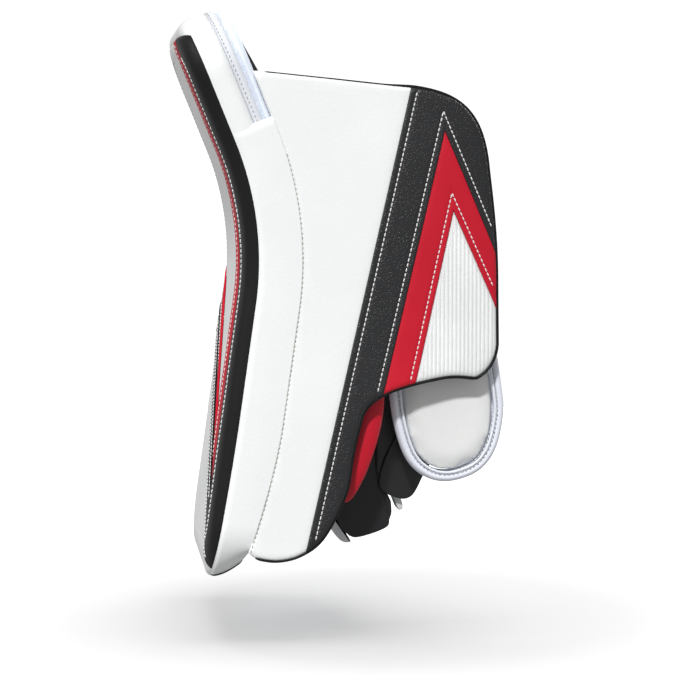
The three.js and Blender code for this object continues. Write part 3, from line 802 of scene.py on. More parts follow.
def build_face():
    sides = [4.0, 2.6, 1.6, 0.9, 0.45, 0.15, 0.0]
    rings = [board_outline(t) for t, _, _ in ROLL] + [board_outline(GROOVE_INSET + o) for o in (-1.1, -0.5, 0.0, 0.8, 2.0)]
    lines = grid_lines(-HALF, HALF, 7.0, 0) + grid_lines(BOTTOM, TOP, 7.0, 1)
    spread = [-o for o in sides] + [o for o in sides[:-1]] + [5.5, 7.0, 8.5, -5.5, -7.0, -8.5]
    for line in (ARM_OUTER, ARM_MIDDLE, ARM_INNER):
        lines += offset_lines(*line, spread)
    for x in (NEAR_BLACK, NEAR_RED):
        lines += offset_lines((x, 0.0), (1, 0), spread)
    lines += offset_lines((0.0, TOP_CAP), (0, 1), (-1.0, -0.4, 0.0, 0.4, 1.0))
    points, faces = cut_flat(rings, lines)

    def placed(region):
        def place(x, s):
            t, (ox, os) = edge_of_board(x, s)
            inset, depth = rolled(t)
            step = t - inset
            fx, fs = x + ox * step, s + os * step
            turn = smoothstep(-3.0, 6.0, t)
            height = face_height(region, x, s, t) * turn
            if region == "black":
                height -= 0.9 * smoothstep(TOP_CAP - 1.2, TOP_CAP, s)
            return on_board(fx, fs, depth - height)

        return place

    pieces = {"white": "face_leather", "red": "face_red", "black": "face_black", "toe": "face_leather"}
    nodes = {"white": "face_white_panel", "red": "face_red_chevron", "black": "face_black_chevron", "toe": "face_toe_panel"}
    for region, material in pieces.items():
        obj = region_mesh(
            "face_" + region + "_leather", points, faces, lambda x, s, r=region: face_region(x, s) == r, placed(region)
        )
        obj = solidified(obj, 1.0)
        dress(obj, material, ROOT, (nodes[region],))

    def lift_at(x, s, region):
        t, (ox, os) = edge_of_board(x, s)
        inset, depth = rolled(t)
        height = face_height(region, x, s, t) * smoothstep(-3.0, 6.0, t)
        return on_board(x + ox * (t - inset), s + os * (t - inset), depth - height)

    def face_row(name, ends, region, material="white_thread", keep=lambda x, s: True):
        flat = resampled([Vector(p) for p in ends], 2.5)
        flat = [p for p in flat if edge_of_board(p.x, p.y)[0] > 6.0 and p.y < TOP_CAP - 1 and keep(p.x, p.y)]
        if len(flat) > 2:
            path = [lift_at(p.x, p.y, region) for p in flat]
            stitch_row(name, path, [-into_board(p.y) for p in flat], material, radius=0.5, sink=-0.08)

    def mitred(near, line, distance):
        """Top end, corner and far end of a line parallel to a chevron edge, distance outside it."""
        x = near + distance
        (px, ps), (nx, ns) = line
        def at(u):
            return ps - distance / ns - (u - px) * nx / ns
        return [(x, TOP), (x, at(x)), (-HALF, at(-HALF))]

    def far_arm(x, s):
        return in_toe(x, s) < -3.0 and x < NEAR_BLACK - 6.0

    face_row("face_stitches_red", mitred(NEAR_RED, ARM_INNER, RED_SEAM), "red")
    face_row("face_stitches_black", mitred(NEAR_BLACK, ARM_MIDDLE, 4.0), "black", keep=far_arm)
    (px, ps), (nx, ns) = ARM_OUTER
    toe = [(u, ps + 4.0 / ns - (u - px) * nx / ns) for u in (px, -HALF)]
    face_row("face_stitches_toe", toe, "black")
    groove = [Vector((x, s)) for x, s in board_outline(GROOVE_INSET, straight_step=3.0)]
    near = [p for p in groove if p.x > 0 and p.y < TOP_CAP - 2 and in_toe(p.x, p.y) < -1.0 and p.x > NEAR_BLACK + 3]
    near.sort(key=lambda p: p.y)
    path = [lift_at(p.x, p.y, "black") for p in near]
    stitch_row("face_stitches_roll", path, [-into_board(p.y) for p in near], "white_thread", radius=0.55, sink=-0.25)
    far = [p for p in groove if p.x < -HALF / 2 and in_toe(p.x, p.y) < -1.0 and p.y < TOP_CAP - 2]
    far.sort(key=lambda p: p.y)
    runs = [[p for p in far if face_region(p.x, p.y) == r] for r in ("white", "red", "black")]
    for run, region in zip(runs, ("white", "red", "black")):
        if len(run) > 3:
            path = [lift_at(p.x, p.y, region) for p in run]
            stitch_row("face_stitches_far_" + region, path, [-into_board(p.y) for p in run], "grey_thread")


# ------------------------------------------------------------------ board sides and layers


def perimeter(inset=0.0, step=4.0):
    """Points round the board with their outward directions, as ((x, s), (nx, ns))."""
    out = []
    for x, s in board_outline(inset, corner_steps=18, straight_step=step):
        _, (nx, ns) = edge_of_board(x, s)
        out.append(((x, s), (nx, ns)))
    return out


def side_band(name, profile, material, nodes, inset=0.0, fill=0.6, step=4.0):
    """A band round the board's side. profile is rows of (depth, how far it stands out)."""
    around = perimeter(inset, step)
    points, faces = [], []
    for (x, s), (nx, ns) in around:
        for depth, out in profile:
            points.append(on_board(x + nx * out, s + ns * out, depth))
    rows, count = len(profile), len(around)
    for i in range(count):
        for r in range(rows - 1):
            a, b = i * rows + r, ((i + 1) % count) * rows + r
            faces.append((a, b, b + 1, a + 1))
    obj = mesh_object(name, points, faces)
    return obj, around


def plate_with_edge(name, profile, inset, material, nodes):
    """A layer of the board as a closed pad: its edge band and its two faces, from one profile."""
    around = perimeter(inset, 5.0)
    rows, count = len(profile), len(around)
    points, faces = [], []
    for (x, s), (nx, ns) in around:
        for depth, out in profile:
            points.append(on_board(x + nx * out, s + ns * out, depth))
    for i in range(count):
        for r in range(rows - 1):
            a, b = i * rows + r, ((i + 1) % count) * rows + r
            faces.append((a, b, b + 1, a + 1))
    for row, flip in ((0, False), (rows - 1, True)):
        depth, out = profile[row]
        rim = [(x + nx * out, s + ns * out) for (x, s), (nx, ns) in around]
        flat_points, flat_faces = cut_flat([rim], grid_lines(-HALF, HALF, 10, 0) + grid_lines(BOTTOM, TOP, 8, 1))
        first = len(points)
        points += [on_board(x, s, depth) for x, s in flat_points]
        faces += [[first + k for k in (f if not flip else f[::-1])] for f in flat_faces]
    obj = mesh_object(name, points, faces)
    bm = bmesh.new()
    bm.from_mesh(obj.data)
    bmesh.ops.remove_doubles(bm, verts=bm.verts[:], dist=0.00005)
    bmesh.ops.recalc_face_normals(bm, faces=bm.faces[:])
    bm.to_mesh(obj.data)
    bm.free()
    return dress(obj, material, ROOT, nodes)


def round_profile(front, back, bulge, radius, steps=5):
    """Depth and stand-out rows of a band with rounded front and back edges."""
    rows = []
    for k in range(steps + 1):
        angle = math.pi / 2 * (1 - k / steps)
        rows.append((front + radius * (1 - math.cos(math.pi / 2 - angle)), -radius * math.sin(angle) + bulge * (1 - math.sin(angle))))
    middle = [(mix(front + radius, back - radius, q), bulge + 0.35 * math.sin(math.pi * q)) for q in (0.25, 0.5, 0.75)]
    tail = [(front + back - depth, out) for depth, out in rows[::-1]]
    return rows + middle + tail


def build_board_sides():
    band, around = side_band("edge_leather", round_profile(8.4, 22.6, 0.15, 1.3), "white_leather", ())
    band = solidified(band, 1.0)
    dress(band, "white_leather", ROOT, ("board_edge_cover", "board_stiffener", "board_foam_core"))
    middle = round_profile(23.0, 30.0, 0.2, 1.6)
    plate_with_edge("fabric_layer", middle, 0.3, "white_fabric", ("board_middle_layer",))
    plate_with_edge("back_foam_layer", round_profile(30.2, 36.6, 0.1, 2.4), 1.5, "ice_foam", ("board_back_layer",))

    def band_row(name, depth, out, material, keep, wander=0.0, **style):
        kept = [(p, n) for p, n in perimeter(0.0, 3.0) if keep(*p)]
        start = next((i for i in range(len(kept)) if math.dist(kept[i][0], kept[i - 1][0]) > 12.0), 0)
        kept = kept[start:] + kept[:start]
        path = [on_board(x + nx * out, s + ns * out, depth + wander * (TOP - s)) for (x, s), (nx, ns) in kept]
        ups = []
        for (x, s), (nx, ns) in kept:
            lean = face_at(s)[2]
            ups.append(Vector((nx, -ns * math.sin(lean), ns * math.cos(lean))))
        stitch_row(name, path, ups, material, **style)

    def shown(x, s):
        return s > FLANGE[1] - 10 or x < 40

    band_row("edge_stitches", 21.3, 0.25, "grey_thread", shown, length=1.5, pitch=3.0, radius=0.32, sink=0.2)
    band_row("fabric_stitches", 24.6, 0.55, "grey_thread", shown, wander=0.02, length=1.7, pitch=3.2, radius=0.34, sink=0.2)
    # A bright piping sits in the seam between the roll and the side.
    pipe = [on_board(x + nx * 0.15, s + ns * 0.15, 8.75) for (x, s), (nx, ns) in perimeter(0.0, 4.0)]
    tube("edge_piping", pipe, 0.75, "white_leather", closed=True, sides=8)


def flange_rows():
    """(x, s, outward direction) down the board's thumb side and round its low corner."""
    rows = []
    top, corner = FLANGE[1], BOTTOM + CORNER
    for k in range(81):
        rows.append((HALF, mix(top, corner, k / 80), (1.0, 0.0)))
    for k in range(1, 25):
        angle = math.radians(FLANGE_TURN) * k / 24
        c, sn = math.cos(angle), math.sin(angle)
        rows.append((HALF - CORNER + CORNER * c, corner - CORNER * sn, (c, -sn)))
    return rows


def build_flange():
    """The strip of leather that laps from the wall over the side of the board, bound at its low end."""
    depths = [8.6, 8.8, 9.4, 10.5, 13, 17, 21, 25, 29, 32.5, 34.8, 35.8, 36.4]
    points, faces = [], []
    rows = flange_rows()
    for x, s, (nx, ns) in rows:
        for depth in depths:
            front = smoothstep(8.6, 10.0, depth)
            ends = smoothstep(0.0, 1.6, FLANGE[1] - s)
            swell = 0.35 * math.sin(math.pi * clamp((depth - 8.6) / 28, 0, 1))
            wrinkle = 0.15 * noise(Vector((s * 0.05, depth * 0.05, 7.0)))
            out = 0.35 + 1.25 * min(front, ends) + swell + wrinkle
            points.append(on_board(x + nx * out, s + ns * out, depth))
    width = len(depths)
    for i in range(len(rows) - 1):
        for k in range(width - 1):
            a, b = i * width + k, (i + 1) * width + k
            faces.append((a, b, b + 1, a + 1))
    obj = solidified(mesh_object("flange_leather", points, faces), 1.0)
    dress(obj, "white_leather", ROOT, ("wall_flange",))
    x, s, (nx, ns) = rows[-1]
    for name, radius, out, material in (("flange_binding", 1.5, 1.0, "binding"), ("flange_edge_line", 0.8, 2.4, "black_leather")):
        path = [on_board(x + nx * out, s + ns * out, mix(9.0, 36.0, k / 12)) for k in range(13)]
        tube(name, path, radius, material, ups=[Vector((nx, 0, ns))] * 13)


# ------------------------------------------------------------------ thumb-side wall

WALL_OUTER, TURN_FROM, TURN_LENGTH, TURN_IN = 103.0, -20.0, 80.0, 8.0
BAND = {"y": -0.6, "z": 210.0, "slope": 0.2283}
RED_PEAK = {"y": 23.0, "z": 186.5, "left": 0.236, "right": 0.438}
RIBBED_PEAK = {"y": 29.0, "z": 134.7, "left": 0.223, "right": 0.463}


def wall_x(y):
    return WALL_OUTER - TURN_IN * clamp((y - TURN_FROM) / TURN_LENGTH, 0.0, 1.2) ** 2


def wall_rim():
    """The wall's free edge, from the board's top round to its finger end, as (y, z)."""
    path = [Vector((-99.5, 225.3)), Vector((-48, 220.3)), Vector((2, 215.2))]
    path += bezier([(2, 215.2), (34, 211), (49.5, 200), (53, 160)], 14)[1:]
    path += bezier([(53, 160), (57, 130), (59, 110), (59, 80)], 8)[1:]
    path.append(Vector((59.5, 46)))
    path += bezier([(59.5, 46), (58.5, 36), (53.7, 28.8), (45, 24.5)], 8)[1:]
    path += spline(
        [(45, 24.5), (24, 25.5), (-10, 17.6), (-28, 6.6), (-34, -9), (-38, -27), (-42.5, -51), (-57, -79),
         (-72, -90.5), (-88, -94), (-103, -91.5)], 6
    )[1:]
    return path


def wall_front(clearance=0.3):
    """The wall's front edge, along the board's back, from finger end to top, as (y, z)."""
    steps = 40
    out = []
    for k in range(steps + 1):
        s = mix(-193.0, 113.5, k / steps)
        p = on_board(0, s, THICK + clearance)
        out.append(Vector((p.y, p.z)))
    return out


def wall_ring(clearance=0.3):
    front = wall_front(clearance)
    rim = resampled([Vector((p.x, p.y, 0)) for p in wall_rim()], 4.0)
    ring = front + [Vector((p.x, p.y)) for p in rim]
    ring = [p for i, p in enumerate(ring) if (p - ring[i - 1]).length > 0.8]
    return anticlockwise(ring)


def slanted(y, z, slope):
    """A line whose y grows by slope for each unit of z, and its unit normal towards +y."""
    length = math.hypot(1.0, slope)
    return (y, z), (1.0 / length, -slope / length)


BAND_LINE = slanted(BAND["y"], BAND["z"], BAND["slope"])
RED_LINES = (slanted(RED_PEAK["y"], RED_PEAK["z"], RED_PEAK["left"]), slanted(RED_PEAK["y"], RED_PEAK["z"], -RED_PEAK["right"]))
RIB_LINES = (
    slanted(RIBBED_PEAK["y"], RIBBED_PEAK["z"], RIBBED_PEAK["left"]),
    slanted(RIBBED_PEAK["y"], RIBBED_PEAK["z"], -RIBBED_PEAK["right"]),
)


def under_peak(lines, y, z):
    return min(beyond(lines[0], y, z), -beyond(lines[1], y, z))


def wall_region(y, z):
    if under_peak(RIB_LINES, y, z) > 0:
        return "ribbed"
    if under_peak(RED_LINES, y, z) > 0:
        return "red"
    return "black" if beyond(BAND_LINE, y, z) > 0 else "white"


RIB_PITCH = 2.75


def wall_height(region, y, z, rim):
    """How far the wall's skin stands out from the plain sheet."""
    edge_round = -2.6 * (1 - math.sqrt(1 - (1 - clamp(rim / 3.2, 0, 1)) ** 2))
    wrinkle = 0.25 * noise(Vector((y, z, 11.0)) * 0.022) + 0.1 * noise(Vector((y, z, 5.0)) * 0.07)
    base = edge_round + wrinkle
    if region == "white":
        return base - 0.35 * math.exp(-max(-beyond(BAND_LINE, y, z), 0) / 2.0)
    red = under_peak(RED_LINES, y, z)
    if region == "black":
        band = beyond(BAND_LINE, y, z)
        lift = lapped(min(band, -red), 1.0)
        return base + lift + sewn(band, 4.4) + sewn(-red, 4.2)
    ribbed = under_peak(RIB_LINES, y, z)
    if region == "red":
        return base + 0.1 + lapped(-ribbed, 0.8) + sewn(-ribbed, 3.8) - 0.45 * math.exp(-red / 1.6)
    along = (y - RIBBED_PEAK["y"]) / RIB_PITCH
    rib = 0.75 * abs(math.sin(math.pi * along)) ** 0.6
    return base - 0.5 + rib * smoothstep(0.6, 2.2, ribbed) * smoothstep(1.0, 4.5, rim)


def build_wall():
    ring = wall_ring(-1.0)
    rings = [ring] + [offset_ring(ring, d) for d in (0.5, 1.1, 1.9, 3.2)]
    spread = [-8, -6.5, -5.2, -4.4, -3.6, -2.4, -1.4, -0.8, -0.4, -0.12, 0.0, 0.12, 0.4, 0.8, 1.4, 2.4, 3.6, 4.4, 5.2, 6.5, 8]
    lines = grid_lines(-160, 62, 7.0, 0) + grid_lines(-95, 226, 7.0, 1)
    for line in (BAND_LINE, *RED_LINES, *RIB_LINES):
        lines += offset_lines(*line, spread)
    points, faces = cut_flat([[tuple(p) for p in r] for r in rings], lines)
    rim_of = {}

    def rim_at(y, z):
        key = (round(y, 4), round(z, 4))
        if key not in rim_of:
            rim_of[key] = ring_distance(ring, y, z)
        return rim_of[key]

    def placed(region):
        def place(y, z):
            return Vector((wall_x(y) + wall_height(region, y, z, rim_at(y, z)), y, z))

        return place

    looks = {
        "white": ("white_leather", "wall_white_panel"),
        "black": ("black_grain", "wall_black_panel"),
        "red": ("red_leather", "wall_red_chevron"),
    }
    for region, (material, node) in looks.items():
        obj = region_mesh("wall_" + region + "_leather", points, faces, lambda y, z, r=region: wall_region(y, z) == r, placed(region))
        dress(solidified(obj, 1.0), material, ROOT, (node,))
    # The ribs need closer cuts, which run along them.
    ribs = []
    y = RIBBED_PEAK["y"] - 16 * RIB_PITCH
    while y < 62:
        ribs += [((y + RIB_PITCH * q, 0.0), (1, 0)) for q in (0.0, 0.1, 0.25, 0.5, 0.75, 0.9)]
        y += RIB_PITCH
    near_ring = [p for p in ring]
    rib_lines = ribs + grid_lines(-95, 226, 7.0, 1)
    for line in RIB_LINES:
        rib_lines += offset_lines(*line, [-2.2, -1.4, -0.8, 0.0, 0.8, 1.4, 2.2])
    rib_points, rib_faces = cut_flat([[tuple(p) for p in r] for r in [near_ring] + rings[1:]], rib_lines)
    obj = region_mesh("wall_ribbed_insert", rib_points, rib_faces, lambda y, z: wall_region(y, z) == "ribbed", placed("ribbed"))
    dress(solidified(obj, 1.0), "ribbed", ROOT, ("wall_ribbed_panel",))

    def wall_row(name, ends, region, margin=3.0, material="white_thread", keep=None, **style):
        flat = resampled([Vector(p) for p in ends], 2.5)
        inside = [p for p in flat if in_ring(ring, p.x, p.y) and rim_at(p.x, p.y) > margin]
        inside = [p for p in inside if wall_region(p.x, p.y) == region and (keep is None or keep(p.x, p.y))]
        if len(inside) > 2:
            path = [placed(region)(p.x, p.y) for p in inside]
            stitch_row(name, path, [Vector((1, 0, 0))] * len(path), material, **style)

    def parallel(line, distance, low, high):
        """A line moved along its normal by distance, between two heights."""
        (py, pz), (ny, nz) = line
        return [(py + (distance - (z - pz) * nz) / ny, z) for z in (low, high)]

    def peak_path(peak, distance):
        """Up one side of a peak and down the other, distance outside it."""
        (ay, az), (any_, anz) = slanted(peak["y"], peak["z"], peak["left"])
        (by, bz), (bny, bnz) = slanted(peak["y"], peak["z"], -peak["right"])
        def left(z):
            return ay + (-distance - (z - az) * anz) / any_
        def right(z):
            return by + (distance - (z - bz) * bnz) / bny
        low, high = peak["z"], peak["z"] + 60
        for _ in range(40):
            middle = (low + high) / 2
            if left(middle) < right(middle):
                low = middle
            else:
                high = middle
        return left, right, low

    wall_row("wall_stitches_band", parallel(BAND_LINE, 4.4, -100, 215), "black", margin=2.0)
    for peak, distance, region, label in ((RED_PEAK, 4.2, "black", "red"), (RIBBED_PEAK, 3.8, "red", "ribbed")):
        left, right, apex = peak_path(peak, distance)
        wall_row("wall_stitches_" + label + "_left", [(left(-20), -20), (left(apex), apex)], region, margin=2.0)
        wall_row("wall_stitches_" + label + "_right", [(right(apex), apex), (right(-20), -20)], region, margin=2.0)
    # The flange's seam with the wall, in tan thread.
    seam = wall_front(-1.0)
    seam_path = [Vector((wall_x(p.x) + 0.1, p.x + 1.1, p.y)) for p in seam]
    seam_path = [p for p in seam_path if p.z < 176]
    stitch_row("flange_stitches", seam_path, [Vector((1, 0, 0))] * len(seam_path), "tan_thread", length=1.9, pitch=3.2, radius=0.35, sink=0.1)


def in_ring(ring, u, v):
    inside = False
    count = len(ring)
    for i in range(count):
        a, b = ring[i], ring[i - 1]
        if (a.y > v) != (b.y > v) and u < (b.x - a.x) * (v - a.y) / (b.y - a.y) + a.x:
            inside = not inside
    return inside


def build_wall_inside():
    """The wall's foam, its black lining, the piping on its rim and the black cloth band behind the piping."""
    ring = wall_ring()
    inner_rings = [offset_ring(ring, d) for d in (1.0, 2.2, 4.0)]
    lines = grid_lines(-160, 62, 4.5, 0) + grid_lines(-95, 226, 4.5, 1)
    points, faces = cut_flat([[tuple(p) for p in r] for r in inner_rings], lines)
    faces = [f[::-1] for f in faces]

    def place(y, z):
        rim = ring_distance(ring, y, z) - 1.0
        swell = 1.3 * smoothstep(0.0, 14.0, rim)
        edge = 3.2 * (1 - math.sqrt(1 - (1 - clamp(rim / 5.0, 0, 1)) ** 2))
        quilt = sewn(rim, 16.0, 1.1, 2.2)
        wrinkle = 0.5 * noise(Vector((y, z, 2.0)) * 0.03)
        return Vector((wall_x(y) - 10.0 - swell - quilt + edge + wrinkle, y, z))

    obj = region_mesh("wall_lining_cloth", points, faces, lambda y, z: True, place)
    dress(solidified(obj, 0.8), "black_fabric", ROOT, ("wall_lining",))
    softened("wall_foam_core", "foam", 2.6, 5, name="wall_foam", puff=-0.3)
    rim = resampled([Vector((0, p.x, p.y)) for p in wall_rim()], 3.0)
    rim = rim[1:-1]
    flat = [Vector((p.y, p.z)) for p in rim]
    proud, hidden = offset_open(flat, 0.3), offset_open(flat, -0.9)
    # Along the white top the piping is tucked in; round the rest of the rim it stands proud.
    outline = [h.lerp(p, smoothstep(-20.0, 5.0, p.x) if p.y > 190 else 1.0) for p, h in zip(proud, hidden)]
    path = [Vector((wall_x(p.x) - 2.0, p.x, p.y)) for p in outline]
    ups = [Vector((1, 0, 0))] * len(path)
    tube("wall_piping", path, 1.1, "face_black", nodes=("wall_rim_piping",), ups=ups)
    band = offset_open([Vector((p.y, p.z)) for p in rim], -4.2)
    path = [Vector((wall_x(p.x) - 6.4, p.x, p.y)) for p in band]
    tube("wall_edge_band", path, 4.4, "black_fabric", ups=ups, flat=0.95)
    loop = [p for p in offset_ring(ring, 17.0) if in_ring(ring, p.x, p.y) and ring_distance(ring, p.x, p.y) > 16.0]
    path = [place(p.x, p.y) for p in loop]
    stitch_row("lining_stitches", path, [Vector((-1, 0, 0))] * len(path), "black_thread")


def build_wall_roll():
    """The red padded roll inside the wall's lower rim."""
    centre = spline([(-20, 24), (-24, 4), (-29.5, -18), (-35.5, -40), (-41, -58)], 8)
    points, faces = [], []
    sides = 26
    count = len(centre)
    for i, p in enumerate(centre):
        share = i / (count - 1)
        swell = math.sin(math.pi * (0.06 + 0.93 * share)) ** 0.55
        thick, wide = 5.2 * swell, 10.0 * swell
        for k in range(sides):
            angle = 2 * math.pi * k / sides
            ridge = 1 + 0.02 * noise(Vector((k * 0.7, i * 0.4, 1.0)))
            points.append((86.6 + thick * math.cos(angle) * ridge, p.x + wide * math.sin(angle) * ridge, p.y))
    for i in range(count - 1):
        for k in range(sides):
            a, b = i * sides + k, i * sides + (k + 1) % sides
            faces.append((a, b, b + sides, a + sides))
    faces.append(list(range(sides))[::-1])
    faces.append([(count - 1) * sides + k for k in range(sides)])
    dress(mesh_object("red_roll", points, faces), "red_leather", ROOT, ("wall_red_roll",))


# ------------------------------------------------------------------ little-finger side


def build_little_side():
    rear = spline([(-62, 153), (-45, 138), (-32, 100), (-29, 40), (-38, -15), (-60, -48), (-84, -57)], 7)
    front = []
    for k in range(25):
        p = on_board(0, mix(-160, 48, k / 24), THICK + 0.3)
        front.append(Vector((p.y, p.z)))
    ring = anticlockwise(front + rear)
    ring = [p for i, p in enumerate(ring) if (p - ring[i - 1]).length > 0.8]
    rings = [ring] + [offset_ring(ring, d) for d in (0.6, 1.4, 2.6, 4.4)]
    lines = grid_lines(-140, -25, 4.0, 0) + grid_lines(-60, 155, 4.0, 1)
    points, faces = cut_flat([[tuple(p) for p in r] for r in rings], lines)

    def outside(y, z):
        rim = ring_distance(ring, y, z)
        edge = 2.4 * (1 - math.sqrt(1 - (1 - clamp(rim / 3.5, 0, 1)) ** 2))
        return Vector((-101.6 + edge - 0.8 * smoothstep(0, 12, rim) + sewn(rim, 8.0, -0.5, 1.4), y, z))

    def inside(y, z):
        rim = ring_distance(ring, y, z)
        edge = 2.8 * (1 - math.sqrt(1 - (1 - clamp(rim / 4.0, 0, 1)) ** 2))
        return Vector((-91.0 - edge + 0.8 * smoothstep(0, 12, rim) - sewn(rim, 8.0, -0.6, 1.6), y, z))

    out_faces = [f[::-1] for f in faces]
    outer = region_mesh("little_side_leather", points, out_faces, lambda y, z: True, outside)
    dress(solidified(outer, 1.0), "white_leather", ROOT, ("little_side_cover",))
    inner = region_mesh("little_side_cloth", points, faces, lambda y, z: True, inside)
    dress(solidified(inner, 0.8), "black_fabric", ROOT, ("little_side_lining",))
    softened("little_side_foam", "foam", 2.2, 5, name="little_side_pad", puff=-0.4)
    edge = resampled([Vector((0, p.x, p.y)) for p in rear], 3.0)
    for x, radius, material, name in ((-99.6, 1.4, "black_leather", "little_piping"), (-95.6, 3.9, "black_fabric", "little_edge_band")):
        tube(name, [Vector((x, p.y - 0.6, p.z)) for p in edge], radius, material, ups=[Vector((1, 0, 0))] * len(edge))
    for label, place, x_normal in (("out", outside, -1), ("in", inside, 1)):
        row = [p for p in offset_ring(ring, 8.0) if p.x > -100]
        row = [p for p in row if in_ring(ring, p.x, p.y) and ring_distance(ring, p.x, p.y) > 7.0]
        material = "grey_thread" if label == "out" else "black_thread"
        path = [place(p.x, p.y) for p in row]
        if len(path) > 3:
            stitch_row("little_side_stitches_" + label, path, [Vector((x_normal, 0, 0))] * len(path), material)


# ------------------------------------------------------------------ glove body


def build_hand():
    softened("mounting_patch", "pile", 1.0, 3, name="mounting_patch_cloth")
    for node, name, voxel, cap in (
        ("backhand_pad", "backhand_cushion", 4.0, 3.0),
        ("cuff_thumb_panel", "cuff_thumb_cushion", 2.4, 2.0),
        ("cuff_little_panel", "cuff_little_cushion", 2.4, 2.0),
    ):
        dress(inflated(node, name, voxel, cap, 1.0), "black_fabric", ROOT, (node,))
    board_cushion("wrist_cushion", (60, 150), (60, 54), 36.9, (51.2, 38.6), "black_fabric", ("wrist_pad",))
    softened("palm", "palm_leather", 1.2, 45, name="palm_leather_shell", wrinkle=1.4)
    softened("thumb_gusset", "palm_leather", 1.2, 30, name="thumb_gusset_leather", wrinkle=1.0)
    outline = [(-14, 19.5), (14, 19.5), (19, 2), (16, -24), (6, -40), (-6, -50), (-14.5, -46), (-15.5, -20)]
    leather_patch("palm_side_leather", outline, 47.2, 0.9, "black_leather")


def board_cushion(name, along, half, front, rear, material, nodes):
    """A pad on the board's back: half width and rear depth change from its low end to its high end."""
    points, faces = [], []
    steps, sides = 44, 40
    for i in range(steps + 1):
        share = i / steps
        s = mix(along[0], along[1], share)
        near_end = min(s - along[0], along[1] - s)
        pinch = 1.0 - 0.5 * (1 - math.sqrt(1 - (1 - clamp(near_end / 2.5, 0, 1)) ** 2))
        wide, deep = mix(half[0], half[1], share) * (0.5 + 0.5 * pinch), mix(rear[0], rear[1], share) - front
        for k, (u, v) in enumerate(rounded_square(1.0, 0.5, 9.0, sides)):
            crown = 1.0 + 0.06 * (1 - u * u)
            ripple = 0.25 * noise(Vector((u * 3, s * 0.05, 9.0)))
            depth = front + deep * pinch * (0.5 + v * (crown if v > 0 else 1.0)) + (ripple if v > 0 else 0.0)
            points.append(on_board(wide * u, s, depth))
    for i in range(steps):
        for k in range(sides):
            a, b = i * sides + k, i * sides + (k + 1) % sides
            faces.append((a, b, b + sides, a + sides))
    faces.append(list(range(sides))[::-1])
    faces.append([steps * sides + k for k in range(sides)])
    return dress(mesh_object(name, points, faces), material, ROOT, nodes)


def loop_path(points, step=2.5):
    return resampled([Vector(p) for p in points], step)


def build_hand_stitches():
    palm_y = -11.9
    for z in (23.5, 104.5):
        row = loop_path([(-40, palm_y, z), (40, palm_y, z)])
        stitch_row("palm_stitches_%d" % z, row, [Vector((0, 1, 0))] * len(row), "black_thread")
    for side in (-1, 1):
        row = loop_path([(side * 38, palm_y, 26), (side * 38, palm_y, 102)])
        stitch_row("palm_stitches_side_%d" % (side + 1), row, [Vector((0, 1, 0))] * len(row), "grey_thread")


def build_strap():
    softened("strap_anchor", "webbing", 0.9, 4, name="strap_anchor_cloth")
    softened("strap_loop_patch", "pile", 0.6, 2, name="strap_loop_cloth")
    softened("strap_hook_patch", "pile", 0.6, 2, name="strap_hook_cloth", body="wrist_strap_body")
    softened("wrist_strap", "webbing", 0.8, 4, name="wrist_strap_webbing", body="wrist_strap_body")
    softened("strap_pull_tab", "red_rubber", 0.7, 4, name="strap_pull_tab_rubber", body="wrist_strap_body")
    back = 8.25
    boxes = {"end": (30, 44), "anchor": (-51, -40)}
    for label, (x0, x1) in boxes.items():
        corners = [(x0, back, 139), (x1, back, 139), (x1, back, 169), (x0, back, 169), (x0, back, 139), (x1, back, 169)]
        row = loop_path(corners)
        stitch_row("strap_stitches_" + label, row, [Vector((0, 1, 0))] * len(row), "grey_thread", body="wrist_strap_body", pitch=2.8, length=2.0, radius=0.35)
    for z in (137.5, 170.5):
        row = loop_path([(-50, back, z), (44, back, z)])
        stitch_row("strap_edge_stitches_%d" % z, row, [Vector((0, 1, 0))] * len(row), "black_thread", body="wrist_strap_body")


# ------------------------------------------------------------------ fingers

PITCH, STALL_FRONT, STALL_PALM, STALL_TOP, STALL_BEND = 22.6, -36.0, -14.0, 14.0, -31.0


def rounded_square(half_x, half_y, round_off, count):
    """A ring of (x, y) round a square with rounded corners."""
    out = []
    for k in range(count):
        angle = 2 * math.pi * (k + 0.5) / count
        c, s = math.cos(angle), math.sin(angle)
        power = 2.0 / round_off
        out.append((half_x * math.copysign(abs(c) ** power, c), half_y * math.copysign(abs(s) ** power, s)))
    return out


def stall_mesh(name, centre, half, length, tip, wrinkles):
    """A finger of leather: open at the top, closed and domed at its tip, with creases at the bend.

    centre is (x, y); half is the half size; length is (top, tip) in z.
    """
    top, end = length
    sides = 36
    levels = []
    steps = 46
    for k in range(steps + 1):
        z = mix(top, end + 5.0, k / steps)
        swell = 1.0 + 0.025 * math.sin(z * 0.45)
        for at, depth, width in wrinkles:
            swell -= depth * math.exp(-(((z - at) / width) ** 2))
        levels.append((z, swell))
    for k in range(1, 8):
        angle = math.pi / 2 * k / 8
        levels.append((end + 5.0 - 5.0 * math.sin(angle), math.cos(angle) * 0.55 + 0.45 * math.cos(angle) ** 0.3))
    points, faces = [], []
    ring = rounded_square(half[0], half[1], 4.2, sides)
    for level, (z, swell) in enumerate(levels):
        for k, (x, y) in enumerate(ring):
            crease = 1 + 0.02 * noise(Vector((x * 0.12, y * 0.12, z * 0.16 + centre[0])))
            points.append((centre[0] + x * swell * crease, centre[1] + y * swell * crease, z))
    count = len(levels)
    for i in range(count - 1):
        for k in range(sides):
            a, b = i * sides + k, i * sides + (k + 1) % sides
            faces.append((a, a + sides, b + sides, b))
    faces.append([(count - 1) * sides + k for k in range(sides)])
    return solidified(mesh_object(name, points, faces), 1.6)


